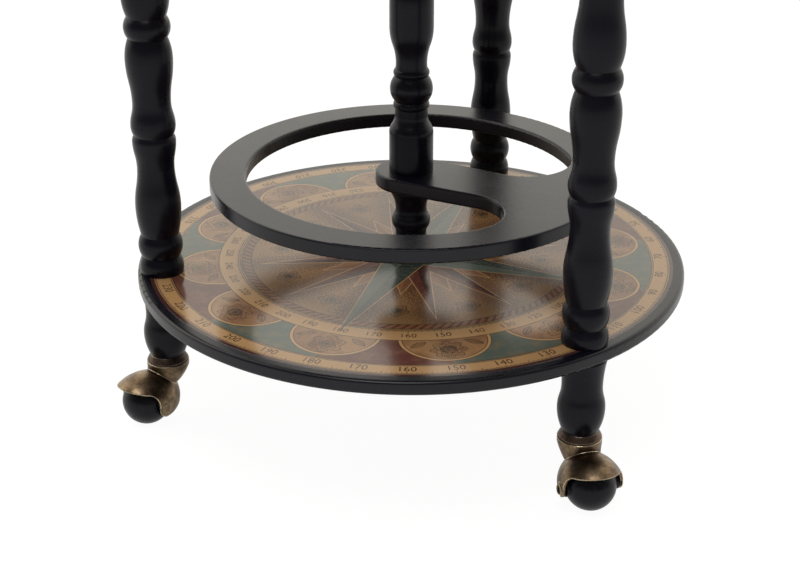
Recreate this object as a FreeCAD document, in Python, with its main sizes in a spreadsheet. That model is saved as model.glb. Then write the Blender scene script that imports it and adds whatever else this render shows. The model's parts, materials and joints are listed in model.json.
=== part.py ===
import FreeCAD, Part
import Sketcher
import math
import os
import re

# A floor globe bar. Three turned legs stand on a round shelf and carry a horizon ring. The lower
# half of the globe hangs in the ring as a bowl with a bottle tray, the upper half is a hinged lid.
# A turned post in the middle carries a flat bottle ring, and the feet run on hooded ball casters.
# Millimetres, +Z up, the origin on the floor under the post, the lid opens to the back (+Y).

sizes = {
    # Clearances: glued or driven fits and turning shafts on the radius, seats face to face
    "fit_gap": 0.1,
    "running_gap": 0.06,
    "seat_gap": 0.3,
    # Globe, in two shells
    "globe_radius": 165,
    "shell_wall": 3,
    "flange_width": 11,
    "flange_thickness": 3,
    "hoop_height": 9,
    "hoop_width": 10,
    "cap_radius": 11,
    "cap_height": 7,
    # Horizon ring
    "horizon_gap": 1,
    "horizon_width": 59,
    "horizon_thickness": 18,
    "horizon_edge": 4,
    "horizon_print_margin": 7,
    "print_thickness": 0.8,
    # Legs, with their studs below and dowels above
    "leg_inset": 20,
    "leg_length": 409,
    "leg_radius": 18.6,
    "stud_radius": 4,
    "stud_bite": 22,
    "dowel_radius": 5,
    "dowel_leg_bite": 22,
    "dowel_ring_bite": 10,
    # Shelf
    "shelf_overhang": 20,
    "shelf_thickness": 12,
    "shelf_edge": 4,
    "shelf_print_margin": 9,
    # Post: two spindles on one bolt, with the bottle ring between them
    "lower_spindle_length": 64,
    "spindle_radius": 17.8,
    "bolt_radius": 4,
    "bolt_bite": 40,
    "bolt_head_radius": 9,
    "bolt_head_height": 4,
    "plate_thickness": 12,
    "plate_edge": 2,
    "plate_leg_gap": 23.1,
    "rim_width": 29.3,
    "hub_radius": 29,
    "web_fillet": 38,
    "web_far_angle": -9.6,
    "web_near_angle": -5.1,
    # Cradle between the post and the bowl
    "cradle_radius": 45,
    "cradle_floor": 7,
    "cradle_rim": 6,
    "cradle_foot_radius": 19,
    # Tray inside the bowl
    "tray_depth": 24,
    "tray_thickness": 7,
    "deck_rise": 51,
    "deck_thickness": 7,
    "ice_hole_radius": 40,
    "glass_hole_radius": 31,
    "glass_pitch_radius": 84,
    "pillar_radius": 6,
    "pillar_inset": 17,
    # Hinge at the back of the lid
    "hinge_standoff": 6.6,
    "hinge_rise": 5,
    "hinge_width": 44,
    "knuckle_radius": 4,
    "knuckle_length": 14,
    "knuckle_gap": 0.4,
    "pin_radius": 1.6,
    "pin_head_radius": 2.8,
    "pin_head_length": 2,
    "leaf_thickness": 2,
    "leaf_depth": 36,
    "lid_leaf_height": 40,
    "arm_thickness": 4,
    # Feet
    "foot_length": 62.5,
    "foot_radius": 18.4,
    "foot_bottom_radius": 14,
    # Casters
    "caster_height": 55.5,
    "ball_radius": 20,
    "ball_boss_radius": 6.5,
    "ball_boss_gap": 0.5,
    "axle_radius": 3,
    "axle_head_radius": 5.4,
    "axle_head_height": 1.3,
    "rivet_seat_depth": 1.1,
    "trail": 25,
    "hood_length_radius": 33,
    "hood_girth_radius": 25,
    "hood_wall": 2.4,
    "hood_lead": 2,
    "neck_radius": 17.4,
    "neck_lip": 4,
    "neck_waist_radius": 13,
    "neck_lean": 9.5,
    "neck_height": 18.5,
    "cup_radius": 16.8,
    "cup_height": 6,
    "cup_edge": 1,
    "sleeve_wall": 1.5,
    "sleeve_reach": 26,
    "stem_radius": 4,
    "stem_seat": 10,
    "stem_reach": 24,
    "stem_point": 2,
}

leg_angles = {"rear": 90, "left": 210, "right": 330}
caster_angles = {"rear": 200, "left": 248, "right": 308}
glass_angles = range(0, 360, 60)
pillar_angles = range(30, 360, 120)

# Turned outlines as shares of a piece's length and radius: height, radius, bend to the next point.
# A belly is where the outline runs straight up, and an ogee joins two bellies.
leg_half_shares = [
    (0.0, 0.93, "to_belly"),
    (0.02, 0.962, "from_belly"),
    (0.068, 0.815, "to_belly"),
    (0.116, 0.962, "from_belly"),
    (0.161, 0.815, "to_belly"),
    (0.279, 0.984, "ogee"),
    (0.443, 0.796, "ogee"),
    (0.549, 0.93, "from_belly"),
    (0.574, 0.845, "to_belly"),
    (0.612, 0.954, "ogee"),
    (0.702, 0.812, "ogee"),
    (0.876, 1.0, "from_belly"),
    (0.959, 0.825, "to_belly"),
    (1.0, 0.978, "line"),
]
foot_shares = [
    (0.304, 1.0, "ogee"),
    (0.6, 0.853, "from_belly"),
    (0.98, 0.99, "line"),
    (1.0, 0.97, "line"),
]
lower_spindle_half_shares = [
    (0.0, 0.985, "line"),
    (0.03, 1.0, "line"),
    (0.18, 1.0, "line"),
    (0.25, 0.925, "to_belly"),
    (0.67, 0.713, "ogee"),
    (1.0, 0.888, "line"),
]
upper_spindle_shares = [
    (0.0, 1.0, "line"),
    (0.182, 1.0, "ogee"),
    (0.264, 0.742, "line"),
    (0.299, 0.742, "to_belly"),
    (0.317, 0.815, "from_belly"),
    (0.334, 0.745, "to_belly"),
    (0.392, 0.963, "from_belly"),
    (0.451, 0.745, "to_belly"),
    (0.468, 0.809, "from_belly"),
    (0.486, 0.72, "to_belly"),
    (0.511, 0.697, "ogee"),
    (0.68, 0.983, "line"),
    (0.784, 0.983, "ogee"),
    (0.953, 0.697, "ogee"),
    (0.985, 0.92, "line"),
    (1.0, 0.92, "line"),
]
pillar_half_shares = [
    (0.0, 1.0, "line"),
    (0.1, 1.0, "line"),
    (0.14, 0.75, "to_belly"),
    (0.5, 0.95, "ogee"),
    (0.8, 0.7, "ogee"),
    (1.0, 0.9, "line"),
]
# The hood's lower edge from the brim's tip to the neck, as shares of its two radii.
hood_edge_shares = [
    (1.4, 0.98, "line"),
    (0.4, 0.6, "to_belly"),
    (0.15, 0.24, "line"),
    (0.15, 0.0, "from_belly"),
    (-0.1, -0.31, "from_pole"),
    (-0.57, -0.1, "line"),
    (-0.76, 0.33, "line"),
    (-1.4, 0.38, "line"),
    (-1.4, -1.4, "line"),
    (1.4, -1.4, "line"),
]
# The goose neck from its ring down to the hood, as shares of its height, widening and lean.
neck_bend_shares = [
    (1.0, 1.0, 0.0),
    (0.55, 0.65, 0.25),
    (0.0, 0.0, 1.0),
]
cradle_cove_share = 0.7
cap_dome_share = 0.7
arm_overlap_share = 0.5

# Radii and levels that follow from the sizes, as expressions.
horizon_radius = "(globe_radius + horizon_gap + horizon_width)"
leg_pitch = f"({horizon_radius} - leg_inset)"
shelf_radius = f"({leg_pitch} + shelf_overhang)"
plate_radius = f"({leg_pitch} - leg_radius - plate_leg_gap)"
rim_inner = f"({plate_radius} - rim_width)"
shell_inner = "(globe_radius - shell_wall)"
shell_seat = f"({shell_inner} - seat_gap)"

shelf_bottom = "(caster_height + foot_length)"
shelf_top = f"({shelf_bottom} + shelf_thickness)"
plate_bottom = f"({shelf_top} + lower_spindle_length)"
plate_top = f"({plate_bottom} + plate_thickness)"
leg_top = f"({shelf_top} + leg_length)"
ring_top = f"({leg_top} + horizon_thickness)"
bowl_centre = f"({ring_top} - flange_thickness)"
cradle_bottom = f"({bowl_centre} - globe_radius - seat_gap - cradle_floor)"
upper_spindle_length = f"({cradle_bottom} - {plate_top})"
deck_depth = f"({shell_inner} - deck_rise - deck_thickness)"
deck_radius = f"sqrt({shell_seat} ^ 2 - {deck_depth} ^ 2)"
lid_centre = f"({ring_top} + seat_gap)"
hinge_back = "(globe_radius + hinge_standoff)"
hinge_level = f"({ring_top} + hinge_rise)"
swivel_level = "(caster_height - cup_height - seat_gap)"

document = FreeCAD.newDocument("GlobeBar")
sheet = document.addObject("Spreadsheet::Sheet", "Sizes")
for row, (alias, number) in enumerate(sizes.items(), start=1):
    sheet.set(f"A{row}", str(number))
    sheet.setAlias(f"A{row}", alias)
document.recompute()

nodes = []


def bound(expression):
    """The expression with each size's name turned into a reference to its cell."""
    return re.sub(
        r"[a-z_]+",
        lambda word: f"Sizes.{word.group()}" if word.group() in sizes else word.group(),
        str(expression),
    )


def value(expression):
    return float(sheet.evalExpression(bound(expression)))


def bind(item, path, expression):
    item.setExpression(path, bound(expression))


def polar(radius, angle):
    return f"{radius} * cos({angle})", f"{radius} * sin({angle})"


def node(item, label):
    item.Label = label
    nodes.append(item)
    return item


def place(item, at, turn=0):
    if turn:
        item.Placement = FreeCAD.Placement(
            FreeCAD.Vector(), FreeCAD.Rotation(FreeCAD.Vector(0, 0, 1), turn)
        )
        item.setExpression("Placement.Rotation.Angle", f"{turn} deg")
    for axis, expression in zip("xyz", at):
        bind(item, f"Placement.Base.{axis}", expression)
    return item


def mirrored(half_shares):
    """A turned outline that repeats upside down above its middle."""
    other_way = {"to_belly": "from_belly", "from_belly": "to_belly"}
    shares = [(height / 2, radius, bend) for height, radius, bend in half_shares[:-1]]
    shares.append((half_shares[-1][0] / 2, half_shares[-1][1], None))
    for height, radius, bend in reversed(half_shares[:-1]):
        shares[-1] = (*shares[-1][:2], other_way.get(bend, bend))
        shares.append((1 - height / 2, radius, "line"))
    return shares


def stations(shares, length, radius):
    return [(f"{radius} * {wide}", f"{length} * {high}", bend) for high, wide, bend in shares]


def arc_centre(start, end, bend):
    """Centre of an arc that runs upright at a belly or level at a pole."""
    (x, y), (u, v) = (start, end) if bend.startswith("from") else (end, start)
    chord = (u - x) ** 2 + (v - y) ** 2
    if bend.endswith("belly"):
        return x + chord / (2 * (u - x)), y
    return x, y + chord / (2 * (v - y))


def arc_radius(start, end, bend):
    across = f"(({end[0]}) - ({start[0]}))"
    along = f"(({end[1]}) - ({start[1]}))"
    reach = across if bend.endswith("belly") else along
    return f"({across} ^ 2 + {along} ^ 2) / (2 * abs({reach}))"


def split_ogees(loop):
    """The loop's runs as (start, end, bend), each ogee as two arcs that meet half way."""
    runs = []
    for (x, y, bend), (u, v, _) in zip(loop, loop[1:] + loop[:1]):
        if bend == "ogee":
            middle = (f"(({x}) + ({u})) / 2", f"(({y}) + ({v})) / 2")
            runs.append(((x, y), middle, "from_belly"))
            runs.append((middle, (u, v), "to_belly"))
        else:
            runs.append(((x, y), (u, v), bend))
    return runs


def outline(body, name, plane, loop, lift="0"):
    """A closed sketch on one of the body's planes, every point and radius bound to the sizes.

    A bend is line, from_belly, to_belly, from_pole, to_pole, ogee, or an arc given as
    (centre x, centre y, radius, turn), with turn 1 for anticlockwise and -1 for clockwise.
    """
    sketch = body.newObject("Sketcher::SketchObject", name)
    planes = {feature.Role: feature for feature in body.Origin.OriginFeatures}
    sketch.AttachmentSupport = (planes[plane], [""])
    sketch.MapMode = "FlatFace"
    bind(sketch, "AttachmentOffset.Base.z", lift)
    curves, ends, constraints, bindings = [], [], [], []

    def bind_next(constraint, expression):
        bindings.append((len(constraints), expression))
        constraints.append(constraint)

    runs = split_ogees(loop)
    for index, (start, end, bend) in enumerate(runs):
        first = FreeCAD.Vector(value(start[0]), value(start[1]), 0)
        last = FreeCAD.Vector(value(end[0]), value(end[1]), 0)
        if bend == "line":
            curves.append(Part.LineSegment(first, last))
            ends.append((1, 2))
            continue
        if isinstance(bend, str):
            centre = FreeCAD.Vector(*arc_centre(first[:2], last[:2], bend), 0)
            radius = arc_radius(start, end, bend)
            turn = 1 if (first - centre).cross(last - centre).z > 0 else -1
        else:
            centre = FreeCAD.Vector(value(bend[0]), value(bend[1]), 0)
            radius, turn = bend[2:]
        begin, stop = (first, last) if turn > 0 else (last, first)
        circle = Part.Circle(centre, FreeCAD.Vector(0, 0, 1), value(radius))
        angles = [math.atan2(*reversed((point - centre)[:2])) for point in (begin, stop)]
        curves.append(Part.ArcOfCircle(circle, *angles))
        ends.append((1, 2) if turn > 0 else (2, 1))
        bind_next(Sketcher.Constraint("Radius", index, value(radius)), radius)
    for index, (start, _, _) in enumerate(runs):
        near = ends[index][0]
        before = index - 1 if index else len(runs) - 1
        constraints.append(Sketcher.Constraint("Coincident", before, ends[before][1], index, near))
        for kind, axis, expression in (("DistanceX", -2, start[0]), ("DistanceY", -1, start[1])):
            distance = value(expression)
            if distance == 0:
                constraints.append(Sketcher.Constraint("PointOnObject", index, near, axis))
            elif distance > 0:
                bind_next(Sketcher.Constraint(kind, -1, 1, index, near, distance), expression)
            else:
                opposite = f"-({expression})"
                bind_next(Sketcher.Constraint(kind, index, near, -1, 1, -distance), opposite)
    sketch.addGeometry(curves)
    sketch.addConstraint(constraints)
    for index, expression in bindings:
        bind(sketch, f"Constraints[{index}]", expression)
    return sketch


def new_body(name):
    return document.addObject("PartDesign::Body", name)


def turned(name, loop, plane="XZ_Plane", axis="V_Axis"):
    """A body turned from its outline, about Z unless another plane and axis are named."""
    body = new_body(name)
    turning = body.newObject("PartDesign::Revolution", f"{name}_turning")
    turning.Profile = outline(body, f"{name}_outline", plane, loop)
    turning.ReferenceAxis = (turning.Profile[0], [axis])
    body.Tip = turning
    return body


def sunk(body, name, sketch, depth, upward=False):
    """A pocket of the sketch's outline, cut down from its level or up from it."""
    pocket = body.newObject("PartDesign::Pocket", name)
    pocket.Profile = sketch
    pocket.Reversed = upward
    bind(pocket, "Length", depth)
    body.Tip = pocket
    return pocket


def circles(body, name, centres, radius, lift):
    """A level sketch of equal circles."""
    sketch = body.newObject("Sketcher::SketchObject", name)
    planes = {feature.Role: feature for feature in body.Origin.OriginFeatures}
    sketch.AttachmentSupport = (planes["XY_Plane"], [""])
    sketch.MapMode = "FlatFace"
    bind(sketch, "AttachmentOffset.Base.z", lift)
    upright = FreeCAD.Vector(0, 0, 1)
    for index, centre in enumerate(centres):
        point = FreeCAD.Vector(value(centre[0]), value(centre[1]), 0)
        sketch.addGeometry(Part.Circle(point, upright, value(radius)))
        rows = [(Sketcher.Constraint("Radius", index, value(radius)), radius)]
        for kind, axis, expression in (("DistanceX", -2, centre[0]), ("DistanceY", -1, centre[1])):
            distance = value(expression)
            if abs(distance) < 1e-9:
                sketch.addConstraint(Sketcher.Constraint("PointOnObject", index, 3, axis))
            elif distance > 0:
                rows.append((Sketcher.Constraint(kind, -1, 1, index, 3, distance), expression))
            else:
                opposite = f"-({expression})"
                rows.append((Sketcher.Constraint(kind, index, 3, -1, 1, -distance), opposite))
        for constraint, expression in rows:
            bind(sketch, f"Constraints[{sketch.addConstraint(constraint)}]", expression)
    return sketch


def drilled(body, name, centres, radius, lift, depth, upward=False):
    sketch = circles(body, f"{name}_places", centres, radius, lift)
    return sunk(body, name, sketch, depth, upward)


def primitive(kind, name, at=("0", "0", "0"), **lengths):
    item = document.addObject(f"Part::{kind}", name)
    for path, expression in lengths.items():
        bind(item, path, expression)
    return place(item, at)


def lying_cylinder(name, axis, at, radius, length):
    """A cylinder along X or Y, centred on its place."""
    item = document.addObject("Part::Cylinder", name)
    about = FreeCAD.Vector(0, 1, 0) if axis == "x" else FreeCAD.Vector(-1, 0, 0)
    item.Placement = FreeCAD.Placement(FreeCAD.Vector(), FreeCAD.Rotation(about, 90))
    bind(item, "Radius", radius)
    bind(item, "Height", length)
    start = dict(zip("xyz", at))
    start[axis] = f"{start[axis]} - ({length}) / 2"
    for side, expression in start.items():
        bind(item, f"Placement.Base.{side}", expression)
    return item


def fused(name, *items):
    item = document.addObject("Part::MultiFuse", name)
    item.Shapes = list(items)
    return item


def cut(name, base, tool):
    item = document.addObject("Part::Cut", name)
    item.Base = base
    item.Tool = tool
    return item


def group(name, items):
    item = document.addObject("Part::Compound", name)
    item.Links = list(items)
    return node(item, name)


leg_places = {side: polar(leg_pitch, angle) for side, angle in leg_angles.items()}
stud_hole = "(stud_radius + fit_gap)"
dowel_hole = "(dowel_radius + fit_gap)"
bolt_hole = "(bolt_radius + fit_gap)"


def shelf():
    edge = f"({shelf_radius} - shelf_edge)"
    print_radius = f"({shelf_radius} - shelf_print_margin)"
    recess = "(shelf_thickness - print_thickness)"
    board = turned("shelf_board", [
        (bolt_hole, "0", "line"),
        (edge, "0", "to_belly"),
        (shelf_radius, "shelf_edge", "line"),
        (shelf_radius, "(shelf_thickness - shelf_edge)", "from_belly"),
        (edge, "shelf_thickness", "line"),
        (f"({print_radius} + fit_gap)", "shelf_thickness", "line"),
        (f"({print_radius} + fit_gap)", recess, "line"),
        (bolt_hole, recess, "line"),
    ])
    places = leg_places.values()
    drilled(board, "shelf_stud_holes", places, stud_hole, "shelf_thickness", "shelf_thickness")
    place(node(board, "shelf_board"), ("0", "0", shelf_bottom))
    sheet_print = turned("shelf_print", [
        (bolt_hole, "0", "line"),
        (print_radius, "0", "line"),
        (print_radius, "print_thickness", "line"),
        (bolt_hole, "print_thickness", "line"),
    ])
    drilled(sheet_print, "print_stud_holes", places, stud_hole, "print_thickness", "print_thickness")
    place(node(sheet_print, "shelf_print"), ("0", "0", f"({shelf_bottom} + {recess})"))


def legs():
    for side, (x, y) in leg_places.items():
        leg = turned(f"leg_{side}", [
            (stud_hole, "0", "line"),
            *stations(mirrored(leg_half_shares), "leg_length", "leg_radius"),
            (dowel_hole, "leg_length", "line"),
            (dowel_hole, "(leg_length - dowel_leg_bite)", "line"),
            ("0", "(leg_length - dowel_leg_bite)", "line"),
            ("0", "stud_bite", "line"),
            (stud_hole, "stud_bite", "line"),
        ])
        place(node(leg, f"leg_{side}"), (x, y, shelf_top))
        sleeve_hole = "(stem_radius + running_gap + sleeve_wall + fit_gap)"
        foot = turned(f"foot_{side}", [
            (sleeve_hole, "0", "line"),
            ("foot_bottom_radius", "0", "to_belly"),
            *stations(foot_shares, "foot_length", "foot_radius"),
            (stud_hole, "foot_length", "line"),
            (stud_hole, "(foot_length - stud_bite)", "line"),
            ("0", "(foot_length - stud_bite)", "line"),
            ("0", "(sleeve_reach + fit_gap)", "line"),
            (sleeve_hole, "(sleeve_reach + fit_gap)", "line"),
        ])
        place(node(foot, f"foot_{side}"), (x, y, "caster_height"))


def plain_pins(label, radius, low, length):
    """One straight round pin on each leg's axis, as a group."""
    pins = []
    for side, (x, y) in leg_places.items():
        pin = primitive("Cylinder", f"{label}_{side}", (x, y, low), Radius=radius, Height=length)
        pins.append(pin)
    group(label, pins)


def leg_fixings():
    stud_low = f"({shelf_bottom} - stud_bite + fit_gap)"
    plain_pins("leg_studs", "stud_radius", stud_low, "(2 * stud_bite + shelf_thickness - 2 * fit_gap)")
    dowel_low = f"({leg_top} - dowel_leg_bite + fit_gap)"
    plain_pins("ring_dowels", "dowel_radius", dowel_low, "(dowel_leg_bite + dowel_ring_bite - 2 * fit_gap)")


def post():
    lower = turned("lower_spindle", [
        (bolt_hole, "0", "line"),
        *stations(mirrored(lower_spindle_half_shares), "lower_spindle_length", "spindle_radius"),
        (bolt_hole, "lower_spindle_length", "line"),
    ])
    place(node(lower, "lower_spindle"), ("0", "0", shelf_top))
    upper = turned("upper_spindle", [
        (bolt_hole, "0", "line"),
        *stations(upper_spindle_shares, upper_spindle_length, "spindle_radius"),
        (bolt_hole, upper_spindle_length, "line"),
        (bolt_hole, f"({upper_spindle_length} - bolt_bite)", "line"),
        ("0", f"({upper_spindle_length} - bolt_bite)", "line"),
        ("0", "bolt_bite", "line"),
        (bolt_hole, "bolt_bite", "line"),
    ])
    place(node(upper, "upper_spindle"), ("0", "0", plate_top))
    bolt_top = f"(bolt_head_height + {plate_top} - {shelf_bottom} + bolt_bite - fit_gap)"
    bolt = turned("post_bolt", [
        ("0", "0", "from_pole"),
        ("bolt_head_radius", "(bolt_head_height / 2)", "line"),
        ("bolt_head_radius", "bolt_head_height", "line"),
        ("bolt_radius", "bolt_head_height", "line"),
        ("bolt_radius", bolt_top, "line"),
        ("0", bolt_top, "line"),
    ])
    place(node(bolt, "post_bolt"), ("0", "0", f"({shelf_bottom} - bolt_head_height)"))


def web_corner(angle, side):
    """Points of one web edge: on the hub, on the fillet, on the rim, and the fillet's centre.

    The edge is a straight line along the angle that touches the hub, and a fillet joins it to
    the rim from the inside. The far edge has side 1, the near edge -1.
    """
    reach = f"sqrt(({rim_inner} - web_fillet) ^ 2 - (hub_radius + web_fillet) ^ 2)"
    along = (f"cos({angle})", f"sin({angle})")
    across = (f"(-{side} * sin({angle}))", f"({side} * cos({angle}))")
    centre = [f"({reach} * {a} + (hub_radius + web_fillet) * {b})" for a, b in zip(along, across)]
    on_hub = [f"hub_radius * {b}" for b in across]
    on_fillet = [f"{c} - web_fillet * {b}" for c, b in zip(centre, across)]
    on_rim = [f"{c} * {rim_inner} / ({rim_inner} - web_fillet)" for c in centre]
    return on_hub, on_fillet, on_rim, centre


def bottle_ring():
    body = new_body("bottle_ring")
    disc = body.newObject("PartDesign::Pad", "plate_disc")
    disc.Profile = circles(body, "plate_circle", [("0", "0")], plate_radius, "0")
    bind(disc, "Length", "plate_thickness")
    far_hub, far_fillet, far_rim, far_centre = web_corner("web_far_angle", 1)
    near_hub, near_fillet, near_rim, near_centre = web_corner("web_near_angle", -1)
    opening = outline(body, "opening_outline", "XY_Plane", [
        (*far_rim, ("0", "0", rim_inner, 1)),
        (*near_rim, (*near_centre, "web_fillet", 1)),
        (*near_fillet, "line"),
        (*near_hub, ("0", "0", "hub_radius", -1)),
        (*far_hub, "line"),
        (*far_fillet, (*far_centre, "web_fillet", 1)),
    ], "plate_thickness")
    opened = sunk(body, "bottle_opening", opening, "plate_thickness")
    document.recompute()
    rounding = body.newObject("PartDesign::Fillet", "plate_rounding")
    level_edges = [
        f"Edge{index}"
        for index, edge in enumerate(opened.Shape.Edges, start=1)
        if all(abs(edge.tangentAt(end).z) < 0.5 for end in edge.ParameterRange)
    ]
    rounding.Base = (opened, level_edges)
    bind(rounding, "Radius", "plate_edge")
    body.Tip = rounding
    drilled(body, "hub_hole", [("0", "0")], bolt_hole, "plate_thickness", "plate_thickness")
    place(node(body, "bottle_ring"), ("0", "0", plate_bottom))


def cradle():
    rise = "(globe_radius + seat_gap - sqrt((globe_radius + seat_gap) ^ 2 - cradle_radius ^ 2))"
    lip = f"(cradle_floor + {rise})"
    body = turned("bowl_cradle", [
        ("0", "0", "line"),
        ("cradle_foot_radius", "0", "from_belly"),
        (f"(cradle_radius * {cradle_cove_share})", f"({lip} - cradle_rim) / 2", "line"),
        ("cradle_radius", f"({lip} - cradle_rim)", "line"),
        ("cradle_radius", lip, "to_pole"),
        ("0", "cradle_floor", "line"),
    ])
    drilled(body, "cradle_hole", [("0", "0")], bolt_hole, lip, lip)
    place(node(body, "bowl_cradle"), ("0", "0", cradle_bottom))
    seat = f"({bowl_centre} - sqrt({shell_inner} ^ 2 - bolt_head_radius ^ 2) + fit_gap)"
    shank = f"({seat} - {cradle_bottom} + bolt_bite - fit_gap)"
    bolt = turned("bowl_bolt", [
        ("0", "0", "line"),
        ("bolt_radius", "0", "line"),
        ("bolt_radius", shank, "line"),
        ("bolt_head_radius", shank, "line"),
        ("bolt_head_radius", f"({shank} + bolt_head_height / 2)", "to_pole"),
        ("0", f"({shank} + bolt_head_height)", "line"),
    ])
    place(node(bolt, "bowl_bolt"), ("0", "0", f"({seat} - {shank})"))


def bowl():
    rim = "(globe_radius + flange_thickness)"
    flange = "(globe_radius + flange_width)"
    body = turned("bowl_shell", [
        ("0", "0", "to_belly"),
        ("globe_radius", "globe_radius", "line"),
        (flange, "globe_radius", "line"),
        (flange, rim, "line"),
        (shell_inner, rim, "line"),
        (shell_inner, "globe_radius", "from_belly"),
        ("0", "shell_wall", "line"),
    ])
    drilled(body, "bowl_hole", [("0", "0")], bolt_hole, "(2 * shell_wall)", "(2 * shell_wall)")
    place(node(body, "bowl_shell"), ("0", "0", f"({bowl_centre} - globe_radius)"))


def horizon():
    rebate = "(globe_radius + flange_width + seat_gap)"
    hole = "(globe_radius + horizon_gap)"
    edge = f"({horizon_radius} - horizon_edge)"
    print_outer = f"({horizon_radius} - horizon_print_margin)"
    print_inner = f"({rebate} + horizon_print_margin)"
    recess = "(horizon_thickness - print_thickness)"
    ledge = "(horizon_thickness - flange_thickness)"
    ring = turned("horizon_ring", [
        (hole, "0", "line"),
        (edge, "0", "to_belly"),
        (horizon_radius, "horizon_edge", "line"),
        (horizon_radius, "(horizon_thickness - horizon_edge)", "from_belly"),
        (edge, "horizon_thickness", "line"),
        (f"({print_outer} + fit_gap)", "horizon_thickness", "line"),
        (f"({print_outer} + fit_gap)", recess, "line"),
        (f"({print_inner} - fit_gap)", recess, "line"),
        (f"({print_inner} - fit_gap)", "horizon_thickness", "line"),
        (rebate, "horizon_thickness", "line"),
        (rebate, ledge, "line"),
        (hole, ledge, "line"),
    ])
    drilled(ring, "dowel_holes", leg_places.values(), dowel_hole, "0", "dowel_ring_bite", upward=True)
    place(node(ring, "horizon_ring"), ("0", "0", leg_top))
    band = turned("horizon_print", [
        (print_inner, "0", "line"),
        (print_outer, "0", "line"),
        (print_outer, "print_thickness", "line"),
        (print_inner, "print_thickness", "line"),
    ])
    place(node(band, "horizon_print"), ("0", "0", f"({leg_top} + {recess})"))


def board_in_bowl(name, depth, thickness):
    """A round board whose edge follows the inside of the bowl."""
    low = f"sqrt({shell_seat} ^ 2 - ({depth} + {thickness}) ^ 2)"
    high = f"sqrt({shell_seat} ^ 2 - {depth} ^ 2)"
    body = turned(name, [
        ("0", "0", "line"),
        (low, "0", "line"),
        (high, thickness, "line"),
        ("0", thickness, "line"),
    ])
    return place(node(body, name), ("0", "0", f"({bowl_centre} - {depth} - {thickness})"))


def tray():
    board = board_in_bowl("tray_board", "tray_depth", "tray_thickness")
    glass_places = [polar("glass_pitch_radius", angle) for angle in glass_angles]
    drilled(board, "ice_hole", [("0", "0")], "ice_hole_radius", "tray_thickness", "tray_thickness")
    drilled(board, "glass_holes", glass_places, "glass_hole_radius", "tray_thickness", "tray_thickness")
    board_in_bowl("tray_deck", deck_depth, "deck_thickness")
    length = f"({deck_depth} - tray_depth - tray_thickness)"
    pillars = []
    for angle in pillar_angles:
        pillar = turned(f"pillar_{angle}", [
            ("0", "0", "line"),
            *stations(mirrored(pillar_half_shares), length, "pillar_radius"),
            ("0", length, "line"),
        ])
        across = polar(f"({deck_radius} - pillar_inset)", angle)
        place(pillar, (*across, f"({bowl_centre} - {deck_depth})"))
        pillars.append(pillar)
    group("tray_pillars", pillars)


def lid():
    shell = turned("lid_shell", [
        (shell_inner, "0", "line"),
        ("globe_radius", "0", "from_belly"),
        ("0", "globe_radius", "line"),
        ("0", shell_inner, "to_belly"),
    ])
    place(node(shell, "lid_shell"), ("0", "0", lid_centre))
    hoop = turned("lid_hoop", [
        (f"({shell_seat} - hoop_width)", "0", "line"),
        (shell_seat, "0", "from_belly"),
        (f"sqrt({shell_seat} ^ 2 - hoop_height ^ 2)", "hoop_height", "line"),
        (f"({shell_seat} - hoop_width)", "hoop_height", "line"),
    ])
    place(node(hoop, "lid_hoop"), ("0", "0", lid_centre))
    seat = "(globe_radius + fit_gap)"
    skirt = f"(sqrt({seat} ^ 2 - cap_radius ^ 2))"
    cap = turned("pole_cap", [
        ("0", seat, "from_pole"),
        ("cap_radius", skirt, "line"),
        ("cap_radius", f"({skirt} + cap_height / 4)", "line"),
        (f"(cap_radius * {cap_dome_share})", f"({skirt} + cap_height / 4)", "to_pole"),
        ("0", f"({seat} + cap_height)", "line"),
    ])
    place(node(cap, "pole_cap"), ("0", "0", lid_centre))


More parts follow.
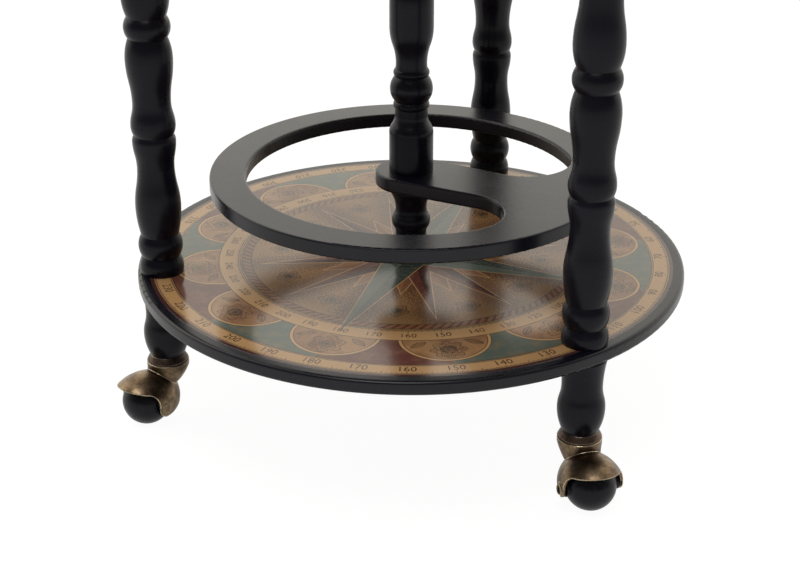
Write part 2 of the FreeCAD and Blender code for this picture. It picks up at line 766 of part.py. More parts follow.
def hinge():
    axis_at = ("0", hinge_back, hinge_level)
    bore = lying_cylinder("pin_bore", "x", axis_at, "(pin_radius + running_gap)", "(2 * hinge_width)")
    barrel = lying_cylinder("fixed_barrel", "x", axis_at, "knuckle_radius", "hinge_width")
    plate = primitive(
        "Box", "fixed_plate", ("-hinge_width / 2", hinge_back, ring_top),
        Length="hinge_width", Width="leaf_depth", Height="leaf_thickness",
    )
    notch_length = "(knuckle_length + 2 * knuckle_gap)"
    notch_half = "(knuckle_radius + knuckle_gap)"
    notch = primitive(
        "Box", "knuckle_notch",
        (f"-{notch_length} / 2", f"({hinge_back} - {notch_half})", ring_top),
        Length=notch_length, Width=f"(2 * {notch_half})", Height=f"(hinge_rise + {notch_half})",
    )
    blank = fused("fixed_leaf_blank", barrel, plate)
    fixed = cut("fixed_leaf_cut", blank, fused("fixed_leaf_room", notch, bore))
    node(fixed, "hinge_fixed_leaf")
    inner = "(globe_radius + fit_gap)"
    outer = f"({inner} + leaf_thickness)"
    strap = turned("lid_leaf_strap", [
        (inner, "0", "from_belly"),
        (f"sqrt({inner} ^ 2 - lid_leaf_height ^ 2)", "lid_leaf_height", "line"),
        (f"sqrt({outer} ^ 2 - lid_leaf_height ^ 2)", "lid_leaf_height", "to_belly"),
        (outer, "0", "line"),
    ], plane="YZ_Plane")
    strap.Tip.Midplane = True
    bind(strap.Tip, "Angle", "2 * asin(hinge_width / (2 * globe_radius))")
    place(strap, ("0", "0", lid_centre))
    arm_start = f"({inner} + leaf_thickness * {arm_overlap_share})"
    arm = primitive(
        "Box", "lid_leaf_arm",
        ("-knuckle_length / 2", arm_start, f"({hinge_level} - arm_thickness / 2)"),
        Length="knuckle_length", Width=f"({hinge_back} - {arm_start})", Height="arm_thickness",
    )
    knuckle = lying_cylinder("lid_knuckle", "x", axis_at, "knuckle_radius", "knuckle_length")
    moving = cut("lid_leaf_cut", fused("lid_leaf_blank", strap, arm, knuckle), bore)
    node(moving, "hinge_lid_leaf")
    half = "(hinge_width / 2 + fit_gap)"
    tip = f"({half} + pin_head_length)"
    shaft = lying_cylinder("pin_shaft", "x", axis_at, "pin_radius", f"(2 * {tip})")
    heads = []
    for side, sign in (("left", "-"), ("right", "")):
        middle = (f"{sign}({half} + pin_head_length / 2)", hinge_back, hinge_level)
        heads.append(lying_cylinder(f"pin_head_{side}", "x", middle, "pin_head_radius", "pin_head_length"))
    node(fused("hinge_pin", shaft, *heads), "hinge_pin")


def caster_cup(side):
    bore = "(stem_radius + running_gap)"
    sleeve = f"({bore} + sleeve_wall)"
    cup = turned(f"caster_cup_{side}", [
        (bore, "0", "line"),
        ("cup_radius", "0", "line"),
        ("cup_radius", "cup_edge", "line"),
        ("foot_bottom_radius", "cup_height", "line"),
        (sleeve, "cup_height", "line"),
        (sleeve, "(cup_height + sleeve_reach)", "line"),
        (bore, "(cup_height + sleeve_reach)", "line"),
    ])
    place(node(cup, f"caster_cup_{side}"), (*leg_places[side], "(caster_height - cup_height)"))
    length = f"(caster_height + stem_reach - {swivel_level} + stem_seat)"
    stem = turned(f"caster_stem_{side}", [
        ("0", "0", "line"),
        ("stem_radius", "0", "line"),
        ("stem_radius", f"({length} - stem_point)", "line"),
        ("(stem_radius - stem_point)", length, "line"),
        ("0", length, "line"),
    ])
    place(node(stem, f"caster_stem_{side}"), (*leg_places[side], f"({swivel_level} - stem_seat)"))


def caster_ball(side, at, angle):
    reach = "(sqrt((hood_girth_radius - hood_wall) ^ 2 - ball_boss_radius ^ 2) - ball_boss_gap)"
    edge = "sqrt(ball_radius ^ 2 - ball_boss_radius ^ 2)"
    bore = "(axle_radius + running_gap)"
    ball = turned(f"caster_ball_{side}", [
        (bore, f"-{reach}", "line"),
        ("ball_boss_radius", f"-{reach}", "line"),
        ("ball_boss_radius", f"-{edge}", "to_belly"),
        ("ball_radius", "0", "from_belly"),
        ("ball_boss_radius", edge, "line"),
        ("ball_boss_radius", reach, "line"),
        (bore, reach, "line"),
    ], plane="XY_Plane")
    place(node(ball, f"caster_ball_{side}"), at, angle)
    seat = "(hood_girth_radius - rivet_seat_depth)"
    crown = f"({seat} + axle_head_height)"
    brow = f"({seat} + axle_head_height / 2)"
    axle = turned(f"caster_axle_{side}", [
        ("0", f"-{crown}", "from_pole"),
        ("axle_head_radius", f"-{brow}", "line"),
        ("axle_head_radius", f"-{seat}", "line"),
        ("axle_radius", f"-{seat}", "line"),
        ("axle_radius", seat, "line"),
        ("axle_head_radius", seat, "line"),
        ("axle_head_radius", brow, "to_pole"),
        ("0", crown, "line"),
    ], plane="XY_Plane")
    place(node(axle, f"caster_axle_{side}"), at, angle)


def hood_spheroid(name, less):
    middle = ("hood_lead", "0", "0")
    girth = f"(hood_girth_radius - {less})"
    length = f"(hood_length_radius - {less})"
    return primitive("Ellipsoid", name, middle, Radius1=girth, Radius2=length, Radius3=girth)


def hood_neck(side):
    """The swivel ring and the goose neck under it, which leans towards the ball."""
    neck = new_body(f"hood_neck_{side}")
    ring_low = "(neck_height - neck_lip)"
    ring = neck.newObject("PartDesign::Pad", f"neck_ring_{side}")
    ring.Profile = circles(neck, f"neck_ring_circle_{side}", [("0", "0")], "neck_radius", ring_low)
    bind(ring, "Length", "neck_lip")
    widening = "(neck_radius - neck_waist_radius)"
    sections = [
        circles(
            neck, f"neck_section_{side}_{index}", [(f"neck_lean * {lean}", "0")],
            f"(neck_waist_radius + {widening} * {wide})", f"{ring_low} * {high}",
        )
        for index, (high, wide, lean) in enumerate(neck_bend_shares)
    ]
    bend = neck.newObject("PartDesign::AdditiveLoft", f"neck_bend_{side}")
    bend.Profile = sections[0]
    bend.Sections = sections[1:]
    neck.Tip = bend
    return place(neck, ("-trail", "0", f"({swivel_level} - neck_height - ball_radius)"))


def caster_hood(side, at, angle):
    hollow = hood_spheroid(f"hood_hollow_{side}", "hood_wall")
    dome = hood_spheroid(f"hood_dome_{side}", "0")
    trim = new_body(f"hood_trim_{side}")
    slab = trim.newObject("PartDesign::Pad", f"hood_trim_slab_{side}")
    slab.Profile = outline(trim, f"hood_trim_outline_{side}", "XZ_Plane", [
        (f"hood_length_radius * ({along})", f"hood_girth_radius * ({high})", bend)
        for along, high, bend in hood_edge_shares
    ])
    slab.Midplane = True
    bind(slab, "Length", "4 * hood_girth_radius")
    trimmed = cut(f"hood_skirt_{side}", dome, trim)
    seat = "(hood_girth_radius - rivet_seat_depth)"
    seat_depth = "hood_wall"
    seats = []
    for end, sign in (("near", "-"), ("far", "")):
        middle = ("0", f"{sign}({seat} + {seat_depth} / 2)", "0")
        radius = "(axle_head_radius + fit_gap)"
        seats.append(lying_cylinder(f"rivet_seat_{end}_{side}", "y", middle, radius, seat_depth))
    bore = lying_cylinder(
        f"axle_hole_{side}", "y", ("0", "0", "0"), "(axle_radius + fit_gap)", "(2 * hood_girth_radius)"
    )
    socket_depth = "(stem_seat + fit_gap)"
    socket = primitive(
        "Cylinder", f"stem_socket_{side}",
        ("-trail", "0", f"({swivel_level} - ball_radius - {socket_depth})"),
        Radius="(stem_radius + fit_gap)", Height=socket_depth,
    )
    blank = fused(f"hood_blank_{side}", trimmed, hood_neck(side))
    hood = cut(f"hood_cut_{side}", blank, fused(f"hood_room_{side}", hollow, bore, socket, *seats))
    place(node(hood, f"caster_hood_{side}"), at, angle)


def casters():
    for side, angle in caster_angles.items():
        x, y = leg_places[side]
        at = (f"{x} + trail * cos({angle})", f"{y} + trail * sin({angle})", "ball_radius")
        caster_cup(side)
        caster_hood(side, at, angle)
        caster_ball(side, at, angle)


shelf()
legs()
leg_fixings()
post()
bottle_ring()
cradle()
bowl()
horizon()
tray()
lid()
hinge()
casters()
document.recompute()

failed = [item.Label for item in document.Objects if {"Invalid", "Error"} & set(item.State)]
failed += [item.Label for item in nodes if item.Shape.isNull() or not item.Shape.isValid()]
if failed:
    raise SystemExit(f"these pieces failed: {', '.join(failed)}")
os.makedirs("parts", exist_ok=True)
for item in nodes:
    item.Shape.exportStep(f"parts/{item.Label}.step")
    print(f"{item.Label}: {len(item.Shape.Solids)} solid(s), {item.Shape.Volume:.0f} mm3")
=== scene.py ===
import json
import math

import bpy
import numpy as np
from mathutils import Matrix, Vector


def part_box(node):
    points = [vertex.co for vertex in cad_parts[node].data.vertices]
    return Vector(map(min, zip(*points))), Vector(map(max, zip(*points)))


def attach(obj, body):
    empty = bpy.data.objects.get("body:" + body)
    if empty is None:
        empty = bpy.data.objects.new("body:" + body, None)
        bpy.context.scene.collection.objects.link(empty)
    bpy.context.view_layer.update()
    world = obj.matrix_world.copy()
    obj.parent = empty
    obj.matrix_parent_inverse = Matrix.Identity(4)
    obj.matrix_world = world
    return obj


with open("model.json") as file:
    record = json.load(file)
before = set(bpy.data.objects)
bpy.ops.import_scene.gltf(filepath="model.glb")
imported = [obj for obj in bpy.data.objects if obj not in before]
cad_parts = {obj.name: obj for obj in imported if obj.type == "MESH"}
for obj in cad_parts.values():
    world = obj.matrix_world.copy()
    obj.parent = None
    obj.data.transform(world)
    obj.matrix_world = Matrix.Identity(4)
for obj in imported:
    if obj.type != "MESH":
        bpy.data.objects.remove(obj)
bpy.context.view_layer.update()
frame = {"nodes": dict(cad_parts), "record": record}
nodes = frame["nodes"]
sides = ("left", "right", "rear")
mm = 0.001
white = (1.0, 1.0, 1.0, 1.0)


# Small helpers for objects

def deselectAll():
    if bpy.context.object and bpy.context.object.mode != "OBJECT":
        bpy.ops.object.mode_set(mode="OBJECT")
    bpy.ops.object.select_all(action="DESELECT")


def makeActive(piece):
    deselectAll()
    piece.select_set(True)
    bpy.context.view_layer.objects.active = piece


def applyPlace(piece):
    makeActive(piece)
    bpy.ops.object.transform_apply(location=True, rotation=True, scale=True)


def copyOf(piece):  # with a mesh of its own
    twin = piece.copy()
    twin.data = piece.data.copy()
    bpy.context.scene.collection.objects.link(twin)
    return twin


def joinPieces(pieces, name):
    makeActive(pieces[0])
    for piece in pieces[1:]:
        piece.select_set(True)
    bpy.ops.object.join()
    whole = bpy.context.object
    whole.name = name
    applyPlace(whole)
    return whole


def coat(piece, finish):
    piece.data.materials.clear()
    piece.data.materials.append(finish)


def dress(finish, *names):
    for name in names:
        coat(nodes[name], finish)


def addPiece(piece, finish, body):
    coat(piece, finish)
    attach(piece, body)


def jointPlace(name):
    joint = next(j for j in frame["record"]["behaviour"]["joints"] if j["name"] == name)
    return Vector(joint["pos_m"]), Vector(joint["axis"])


def wrapped(degrees):  # an angle within half a turn of zero
    return (degrees + 180) % 360 - 180


# Small helpers for shader nodes

def paint(red, green, blue):  # an 8-bit display colour as the linear one that sockets take
    def linear(level):
        share = level / 255
        return share / 12.92 if share <= 0.04045 else ((share + 0.055) / 1.055) ** 2.4
    return (linear(red), linear(green), linear(blue), 1.0)


def wire(tree, socket, value):
    if isinstance(value, bpy.types.NodeSocket):
        tree.links.new(value, socket)
    else:
        socket.default_value = value


def addNode(tree, kind, inputs=None, **settings):
    node = tree.nodes.new(f"ShaderNode{kind}")
    for name, value in settings.items():
        setattr(node, name, value)
    for name, value in (inputs or {}).items():
        wire(tree, node.inputs[name], value)
    return node


def calc(tree, operation, *values):
    return addNode(tree, "Math", dict(enumerate(values)), operation=operation).outputs[0]


def times(tree, first, second):
    return calc(tree, "MULTIPLY", first, second)


def minus(tree, first, second):
    return calc(tree, "SUBTRACT", first, second)


def vectorCalc(tree, operation, *values):
    return addNode(tree, "VectorMath", dict(enumerate(values)), operation=operation).outputs


def toward(tree, vector, direction):  # how far a vector reaches along a direction
    return vectorCalc(tree, "DOT_PRODUCT", vector, direction)["Value"]


def ramped(tree, value, low, high, start=0.0, end=1.0):  # a smooth step from start to end
    inputs = dict(enumerate((value, low, high, start, end)))
    return addNode(tree, "MapRange", inputs, interpolation_type="SMOOTHSTEP").outputs[0]


def mixed(tree, mask, below, above):
    return addNode(tree, "Mix", {0: mask, 6: below, 7: above}, data_type="RGBA").outputs[2]


def objectPoint(tree):
    return addNode(tree, "TexCoord").outputs["Object"]


def moved(tree, point, place=(0, 0, 0), scale=(1, 1, 1)):  # the pattern's own frame
    inputs = {"Vector": point, "Location": place, "Scale": scale}
    return addNode(tree, "Mapping", inputs, vector_type="POINT").outputs[0]


def noise(tree, point, scale, detail, roughness=0.5):
    inputs = {"Vector": point, "Scale": scale, "Detail": detail, "Roughness": roughness}
    return addNode(tree, "TexNoise", inputs).outputs["Fac"]


def softNoise(tree, point, setting, start=0.0, end=1.0):  # noise as a mask; the setting ends in its edges
    *texture, low, high = setting
    return ramped(tree, noise(tree, point, *texture), low, high, start, end)


def spread(tree, along, across):  # distance from the middle of a pattern
    return calc(tree, "SQRT", calc(tree, "MULTIPLY_ADD", along, along, times(tree, across, across)))


def toPolar(tree, along, across):
    return spread(tree, along, across), calc(tree, "ARCTAN2", across, along)


def fromPolar(tree, radius, angle):
    return [times(tree, radius, calc(tree, operation, angle)) for operation in ("COSINE", "SINE")]


def softNormal(tree, radius):  # the normal, with edges rounded off
    return addNode(tree, "Bevel", {"Radius": radius}, samples=6).outputs[0]


def bumped(tree, height, strength, distance, normal=None):
    node = addNode(tree, "Bump", {"Strength": strength, "Distance": distance, "Height": height})
    if normal:
        wire(tree, node.inputs["Normal"], normal)
    return node.outputs[0]


def newFinish(name):
    finish = bpy.data.materials.new(name)
    finish.use_nodes = True
    return finish, finish.node_tree, finish.node_tree.nodes["Principled BSDF"].inputs


def newGroup(name, inputs, outputs):
    group = bpy.data.node_groups.new(name, "ShaderNodeTree")
    for label, kind in inputs:
        group.interface.new_socket(label, in_out="INPUT", socket_type=f"NodeSocket{kind}")
    for label, kind in outputs:
        group.interface.new_socket(label, in_out="OUTPUT", socket_type=f"NodeSocket{kind}")
    entry = group.nodes.new("NodeGroupInput").outputs
    leave = group.nodes.new("NodeGroupOutput").inputs
    return group, entry, leave


def useGroup(tree, group, **inputs):
    return addNode(tree, "Group", inputs, node_tree=group).outputs


# Studio: pale floor, white backdrop behind, dim room in front, two soft lamps

studio = {
    "floorSize": 30.0,
    "floorColour": paint(236, 236, 235),
    "floorWhite": 0.9,           # how much of the floor is the white background
    "floorGlow": 0.55,           # the same, as reflected
    "floorLight": 1.06,
    "backdropAngle": 111.5,      # where the middle of the white backdrop stands
    "backdropEdges": (-0.25, 0.45),
    "backdropLight": 1.5,
    "backdropTint": (1.0, 0.968, 0.88, 1.0),
    "roomLight": 0.2,            # the dim room in front of the set
    "lamps": {                   # place, size and power
        "keyBox": ((0.1, -0.95, 2.3), 1.2, 24.0),
        "sideBox": ((-1.9, -0.2, 1.6), 1.3, 6.0),
    },
    "lampAim": (0.0, 0.0, 0.3),
}


def seenRays(tree, rays):  # mask of the rays that see plain white
    return calc(tree, "MAXIMUM", rays["Is Camera Ray"], rays["Is Transmission Ray"])


def buildFloor():
    deselectAll()
    bpy.ops.mesh.primitive_plane_add(size=studio["floorSize"])
    floor = bpy.context.object
    floor.name = "studio_floor"
    finish, tree = newFinish("floor_white")[:2]
    tree.nodes.clear()
    rays = addNode(tree, "LightPath").outputs
    share = times(tree, seenRays(tree, rays), studio["floorWhite"])
    share = calc(tree, "MULTIPLY_ADD", rays["Is Glossy Ray"], studio["floorGlow"], share)
    matte = addNode(tree, "BsdfDiffuse", {"Color": studio["floorColour"]})
    glow = addNode(tree, "Emission", {"Color": white, "Strength": studio["floorLight"]})
    both = addNode(tree, "MixShader", {0: share, 1: matte.outputs[0], 2: glow.outputs[0]})
    addNode(tree, "OutputMaterial", {"Surface": both.outputs[0]})
    floor.data.materials.append(finish)


def buildBackdrop():
    world = bpy.data.worlds.new("studio")
    bpy.context.scene.world = world
    world.use_nodes = True
    tree = world.node_tree
    angle = math.radians(studio["backdropAngle"])
    direction = addNode(tree, "TexCoord").outputs["Generated"]
    facing = toward(tree, direction, (math.cos(angle), math.sin(angle), 0.0))
    light = ramped(tree, facing, *studio["backdropEdges"], studio["roomLight"], studio["backdropLight"])
    seen = seenRays(tree, addNode(tree, "LightPath").outputs)
    shown = calc(tree, "MULTIPLY_ADD", seen, minus(tree, 1.0, light), light)
    backdrop = tree.nodes["Background"].inputs
    wire(tree, backdrop["Strength"], shown)
    wire(tree, backdrop["Color"], mixed(tree, seen, studio["backdropTint"], white))


def buildLamps():
    for name, (place, size, power) in studio["lamps"].items():
        lamp = bpy.data.lights.new(name, "AREA")
        lamp.size = size
        lamp.energy = power
        holder = bpy.data.objects.new(name, lamp)
        holder.location = place
        aim = Vector(studio["lampAim"]) - holder.location
        holder.rotation_euler = aim.to_track_quat("-Z", "Y").to_euler()
        bpy.context.scene.collection.objects.link(holder)
    print("studio built")


# Camera at the photograph's viewing angle

view = {
    "place": (0.4606, -1.2157, 0.7068),
    "yaw": 21.15,
    "pitch": 24.97,
    "lens": 76.98,
    "sensor": 36.0,
    "nearest": 0.01,
}


def buildCamera():
    camera = bpy.data.cameras.new("camera")
    camera.lens = view["lens"]
    camera.sensor_width = view["sensor"]
    camera.clip_start = view["nearest"]
    holder = bpy.data.objects.new("camera", camera)
    holder.location = view["place"]
    holder.rotation_euler = (math.radians(90 - view["pitch"]), 0, math.radians(view["yaw"]))
    bpy.context.scene.collection.objects.link(holder)
    bpy.context.scene.camera = holder
    bpy.context.scene.view_settings.view_transform = "Standard"
    print("camera built")


# Shared effects. A noise is written as its scale, detail and roughness, then a mask's low and high edge

skinLook = {
    "patches": (28.0, 4.0, 0.55, 0.32, 0.68),
    "ripple": (420.0, 2.0),
    "rippleDepth": 0.2 * mm,
}

paperLook = {
    "clouds": (9.0, 6.0, 0.6, 0.33, 0.7),
    "stains": (26.0, 5.0, 0.65, 0.58, 0.76),
    "stainShare": 0.45,
    "grain": (900.0, 3.0, 0.7),
    "speckEdges": (0.6, 0.75),
    "speckShare": 0.25,
}


def lacquerSkinGroup():  # the slight ripple of sprayed lacquer, and where it shines less
    group, entry, leave = newGroup(
        "lacquerSkin",
        [("Vector", "Vector"), ("Smooth", "Float"), ("Rough", "Float")],
        [("Roughness", "Float"), ("Height", "Float")],
    )
    patches = softNoise(group, entry["Vector"], skinLook["patches"])
    span = minus(group, entry["Rough"], entry["Smooth"])
    wire(group, leave["Roughness"], calc(group, "MULTIPLY_ADD", patches, span, entry["Smooth"]))
    wire(group, leave["Height"], noise(group, entry["Vector"], *skinLook["ripple"]))
    return group


def agedPaperGroup():  # mottled old paper: a tint mask, foxing spots and fibres
    group, entry, leave = newGroup(
        "agedPaper",
        [("Vector", "Vector"), ("Light", "Color"), ("Dark", "Color"), ("Stain", "Color")],
        [("Color", "Color"), ("Grain", "Float")],
    )
    clouds = softNoise(group, entry["Vector"], paperLook["clouds"])
    colour = mixed(group, clouds, entry["Light"], entry["Dark"])
    stains = softNoise(group, entry["Vector"], paperLook["stains"])
    colour = mixed(group, times(group, stains, paperLook["stainShare"]), colour, entry["Stain"])
    grain = noise(group, entry["Vector"], *paperLook["grain"])
    speck = times(group, ramped(group, grain, *paperLook["speckEdges"]), paperLook["speckShare"])
    wire(group, leave["Color"], mixed(group, speck, colour, entry["Stain"]))
    wire(group, leave["Grain"], grain)
    return group


def starGroup():  # points of a compass rose in polar measures, and which half of a point this is
    group, entry, leave = newGroup(
        "starPoints",
        [(label, "Float") for label in ("Radius", "Angle", "Count", "Tip", "Valley")],
        [("Inside", "Float"), ("Half", "Float")],
    )
    turns = times(group, entry["Angle"], entry["Count"])
    turns = calc(group, "MULTIPLY_ADD", turns, 1 / math.tau, 0.5)
    offAxis = minus(group, calc(group, "FRACT", turns), 0.5)
    step = calc(group, "DIVIDE", math.tau, entry["Count"])
    angle = times(group, calc(group, "ABSOLUTE", offAxis), step)
    along, across = fromPolar(group, entry["Radius"], angle)
    valleyAlong, valleyAcross = fromPolar(group, entry["Valley"], times(group, step, 0.5))
    run = minus(group, valleyAlong, entry["Tip"])
    left = times(group, run, across)
    right = times(group, valleyAcross, minus(group, entry["Tip"], along))
    length = spread(group, run, valleyAcross)
    wire(group, leave["Inside"], calc(group, "DIVIDE", calc(group, "ADD", left, right), length))
    wire(group, leave["Half"], calc(group, "GREATER_THAN", offAxis, 0.0))
    return group


def glossSkin(tree, skin, point, smooth, rough):  # sets the roughness, and gives the ripple's height
    shine = useGroup(tree, lacquerSkin, Vector=point, Smooth=smooth, Rough=rough)
    wire(tree, skin["Roughness"], shine["Roughness"])
    return shine["Height"]


# Black lacquer on all turned and flat wood

lacquer = {
    "black": paint(9, 9, 19),
    "grey": paint(15, 15, 27),
    "tone": (14.0, 5.0, 0.6, 0.35, 0.7),
    "flat": {"smooth": 0.26, "rough": 0.29, "level": 0.31, "ripple": 0.004},
    "turned": {"smooth": 0.25, "rough": 0.32, "level": 0.17, "ripple": 0.02},
    "rims": {"shelf_board": 4.0 * mm, "bottle_ring": 2.0 * mm, "horizon_ring": 4.0 * mm},
    "softEdge": 0.8 * mm,
}


def rimNormal(tree, name, inside):  # on the rounded rim of a disc the exact normal, else the one given
    low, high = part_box(name)
    rounding = lacquer["rims"][name]
    level = (high.z - low.z) / 2 - rounding
    parts = addNode(tree, "SeparateXYZ", {"Vector": objectPoint(tree)}).outputs
    radius = spread(tree, parts[0], parts[1])
    out = minus(tree, radius, high.x - rounding)
    rise = minus(tree, parts[2], (low.z + high.z) / 2)
    above = minus(tree, rise, calc(tree, "MAXIMUM", calc(tree, "MINIMUM", rise, level), -level))
    share = calc(tree, "DIVIDE", times(tree, out, out), radius)   # squares, for a crisper edge
    facing = addNode(tree, "CombineXYZ", {
        "X": times(tree, parts[0], share),
        "Y": times(tree, parts[1], share),
        "Z": times(tree, above, calc(tree, "ABSOLUTE", above)),
    }).outputs[0]
    facing = addNode(
        tree, "VectorTransform", {"Vector": vectorCalc(tree, "NORMALIZE", facing)[0]},
        vector_type="NORMAL", convert_from="OBJECT", convert_to="WORLD",
    ).outputs[0]
    onRim = calc(tree, "GREATER_THAN", out, 0.0)
    return addNode(tree, "Mix", {0: onRim, 4: inside, 5: facing}, data_type="VECTOR").outputs[1]


def blackLacquer(kind, disc=None):
    finish, tree, skin = newFinish(f"black_lacquer_{disc or kind}")
    look = lacquer[kind]
    point = objectPoint(tree)
    tone = softNoise(tree, point, lacquer["tone"])
    wire(tree, skin["Base Color"], mixed(tree, tone, lacquer["black"], lacquer["grey"]))
    skin["Specular IOR Level"].default_value = look["level"]
    height = glossSkin(tree, skin, point, look["smooth"], look["rough"])
    normal = rimNormal(tree, disc, softNormal(tree, lacquer["softEdge"])) if disc else None
    wire(tree, skin["Normal"], bumped(tree, height, look["ripple"], skinLook["rippleDepth"], normal))
    return finish


# The inks of both prints, and the masks that they are drawn with

printInks = {
    "cream": paint(172, 135, 92),
    "tan": paint(151, 114, 77),
    "gold": paint(136, 101, 66),
    "brown": paint(113, 75, 54),
    "teal": paint(78, 89, 81),
    "tealDark": paint(56, 65, 61),
    "maroon": paint(92, 54, 47),
    "maroonDark": paint(64, 38, 35),
    "ochre": paint(131, 91, 58),
    "ink": paint(36, 27, 25),
}

pen = {
    "density": 0.85,
    "soft": 0.0016,              # edge of a line on a print, as a share of the print's radius
    "tickFade": 1.6,             # where a stroke's soft edge ends, in half widths
    "gridFade": 2.0,
    "numeralPress": (420.0, 4.0, 0.65, 0.4, 0.75),
    "gloss": 0.13,
    "glossWorn": 0.18,
    "glossRipple": 0.012,
}


def anyOf(tree, masks):
    result = masks[0]
    for mask in masks[1:]:
        result = calc(tree, "MAXIMUM", result, mask)
    return result


def discMask(tree, value, edge):
    return ramped(tree, value, edge, edge + pen["soft"], 1.0, 0.0)


def bandMask(tree, value, low, high, soft):
    rise = ramped(tree, value, low - soft, low + soft)
    fall = ramped(tree, value, high - soft, high + soft)
    return minus(tree, rise, fall)


def lineMask(tree, value, at, half, soft):
    away = calc(tree, "ABSOLUTE", minus(tree, value, at))
    return ramped(tree, away, half, half + soft, 1.0, 0.0)


def folded(tree, value, step):  # the value from the middle of its own step
    turns = calc(tree, "FRACT", calc(tree, "MULTIPLY_ADD", value, 1 / step, 0.5))
    return times(tree, minus(tree, turns, 0.5), step)


def everyOther(tree, angle, count, start=0.0):  # sectors by turns, as a mask
    turns = calc(tree, "FRACT", calc(tree, "MULTIPLY_ADD", angle, count / math.tau / 2, start))
    return calc(tree, "GREATER_THAN", turns, 0.5)


def tickMask(tree, angle, radius, count, low, high, half):  # radial strokes, as wide at any radius
    away = calc(tree, "ABSOLUTE", folded(tree, angle, math.tau / count))
    stroke = ramped(tree, times(tree, away, radius), half, half * pen["tickFade"], 1.0, 0.0)
    return times(tree, stroke, bandMask(tree, radius, low, high, half / 2))


def discPlace(tree, name):  # flat place on a print, with its polar measures
    point = moved(tree, objectPoint(tree), scale=(1, 1, 0))
    parts = addNode(tree, "SeparateXYZ", {"Vector": point}).outputs
    radius, angle = toPolar(tree, parts[0], parts[1])
    return point, calc(tree, "DIVIDE", radius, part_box(name)[1].x), angle


def printCoat(tree, skin, point, radius, colour, lines, rimInner):  # ink lines, dark rim and clear gloss
    drawn = times(tree, anyOf(tree, lines), pen["density"])
    colour = mixed(tree, drawn, colour, printInks["ink"])
    rim = ramped(tree, radius, rimInner, rimInner + pen["soft"])
    wire(tree, skin["Base Color"], mixed(tree, rim, colour, printInks["maroonDark"]))
    height = glossSkin(tree, skin, point, pen["gloss"], pen["glossWorn"])
    wire(tree, skin["Normal"], bumped(tree, height, pen["glossRipple"], skinLook["rippleDepth"]))


# The shelf's print: a compass rose among flower panels

rose = {  # lengths as shares of the print's radius
    "medallion": 0.09,
    "hubLine": 0.118,
    "disc": 0.655,
    "discLine": 0.662,
    "scaleOuter": 0.735,
    "panelOuter": 0.918,
    "panelLine": 0.924,
    "rimLine": 0.98,
    "rimInner": 0.984,
    "line": 0.0022,
    "scaleTicks": ((180, 0.008, 0.0008), (36, 0.013, 0.0013)),   # count, length and half width
    "rimTicks": ((360, 0.008, 0.0007), (72, 0.013, 0.0012)),
    "bandShare": 0.85,
    "press": (160.0, 3.0, 0.6, 0.3, 0.6),
    "pressShares": (0.55, 0.95),
}

panels = {
    "count": 12,
    "centre": 0.735,
    "radius": 0.162,
    "frame": 0.013,
    "fleck": (70.0, 6.0, 0.7, 0.42, 0.75),
    "fleckShare": 0.4,
    "wash": (30.0, 6.0, 0.68, 0.36, 0.68),
    "flowerPlace": 0.078,
    "flowerSize": 0.064,
    "flowerPetals": (8, 6),      # by turns
    "flowerStart": 0.25,         # puts the change of flower between the panels
}

flower = {
    "outlines": ((1.0, 0.34), (0.62, 0.36), (0.26, 0.0)),        # size and depth of the petals
    "strokes": ((6, 0.3, 0.5), (5, 0.66, 0.86), (3, 0.0, 0.2)),  # count on a petal, inner and outer end
    "strokeShare": 0.42,         # of the line
}

leaf = {
    "place": (0.03, 0.098),
    "size": (0.036, 0.013),
    "turn": 58.0,
    "veins": 9.0,
    "veinGap": 0.7,
    "veinShare": 0.75,
}

star = {
    "points": (                  # count, tip, valley, light and dark half
        (24, 0.36, 0.25, "ochre", "brown"),
        (12, 0.56, 0.17, "maroon", "maroonDark"),
        (4, 0.715, 0.11, "teal", "tealDark"),
    ),
    "frame": 0.004,
    "dots": (760.0, 1.0),
    "stippleReach": 0.13,
    "stippleLevels": (0.32, 0.62),
    "stippleShare": 0.6,
    "worn": (260.0, 4.0, 0.7, 0.5, 0.72),
    "wornShare": 0.35,
    "sprigPlace": 0.5,
    "sprigSize": 0.046,
    "sprigPetals": 5,
    "rope": (0.612, 0.646),
    "ropeStrands": 120,
    "ropeTwist": 0.9,
    "ropeGap": 0.55,
}


def flowerMask(tree, along, across, size, petals):
    reach, turn = toPolar(tree, along, across)
    wave = calc(tree, "ABSOLUTE", calc(tree, "COSINE", times(tree, turn, petals / 2)))
    drawn = []
    for share, depth in flower["outlines"]:
        outline = size * share
        edge = calc(tree, "MULTIPLY_ADD", wave, outline * depth, outline * (1 - depth))
        drawn.append(lineMask(tree, minus(tree, reach, edge), 0.0, rose["line"] / 2, pen["soft"]))
    half = rose["line"] * flower["strokeShare"]
    for count, low, high in flower["strokes"]:
        drawn.append(tickMask(tree, turn, reach, petals * count, size * low, size * high, half))
    return anyOf(tree, drawn)


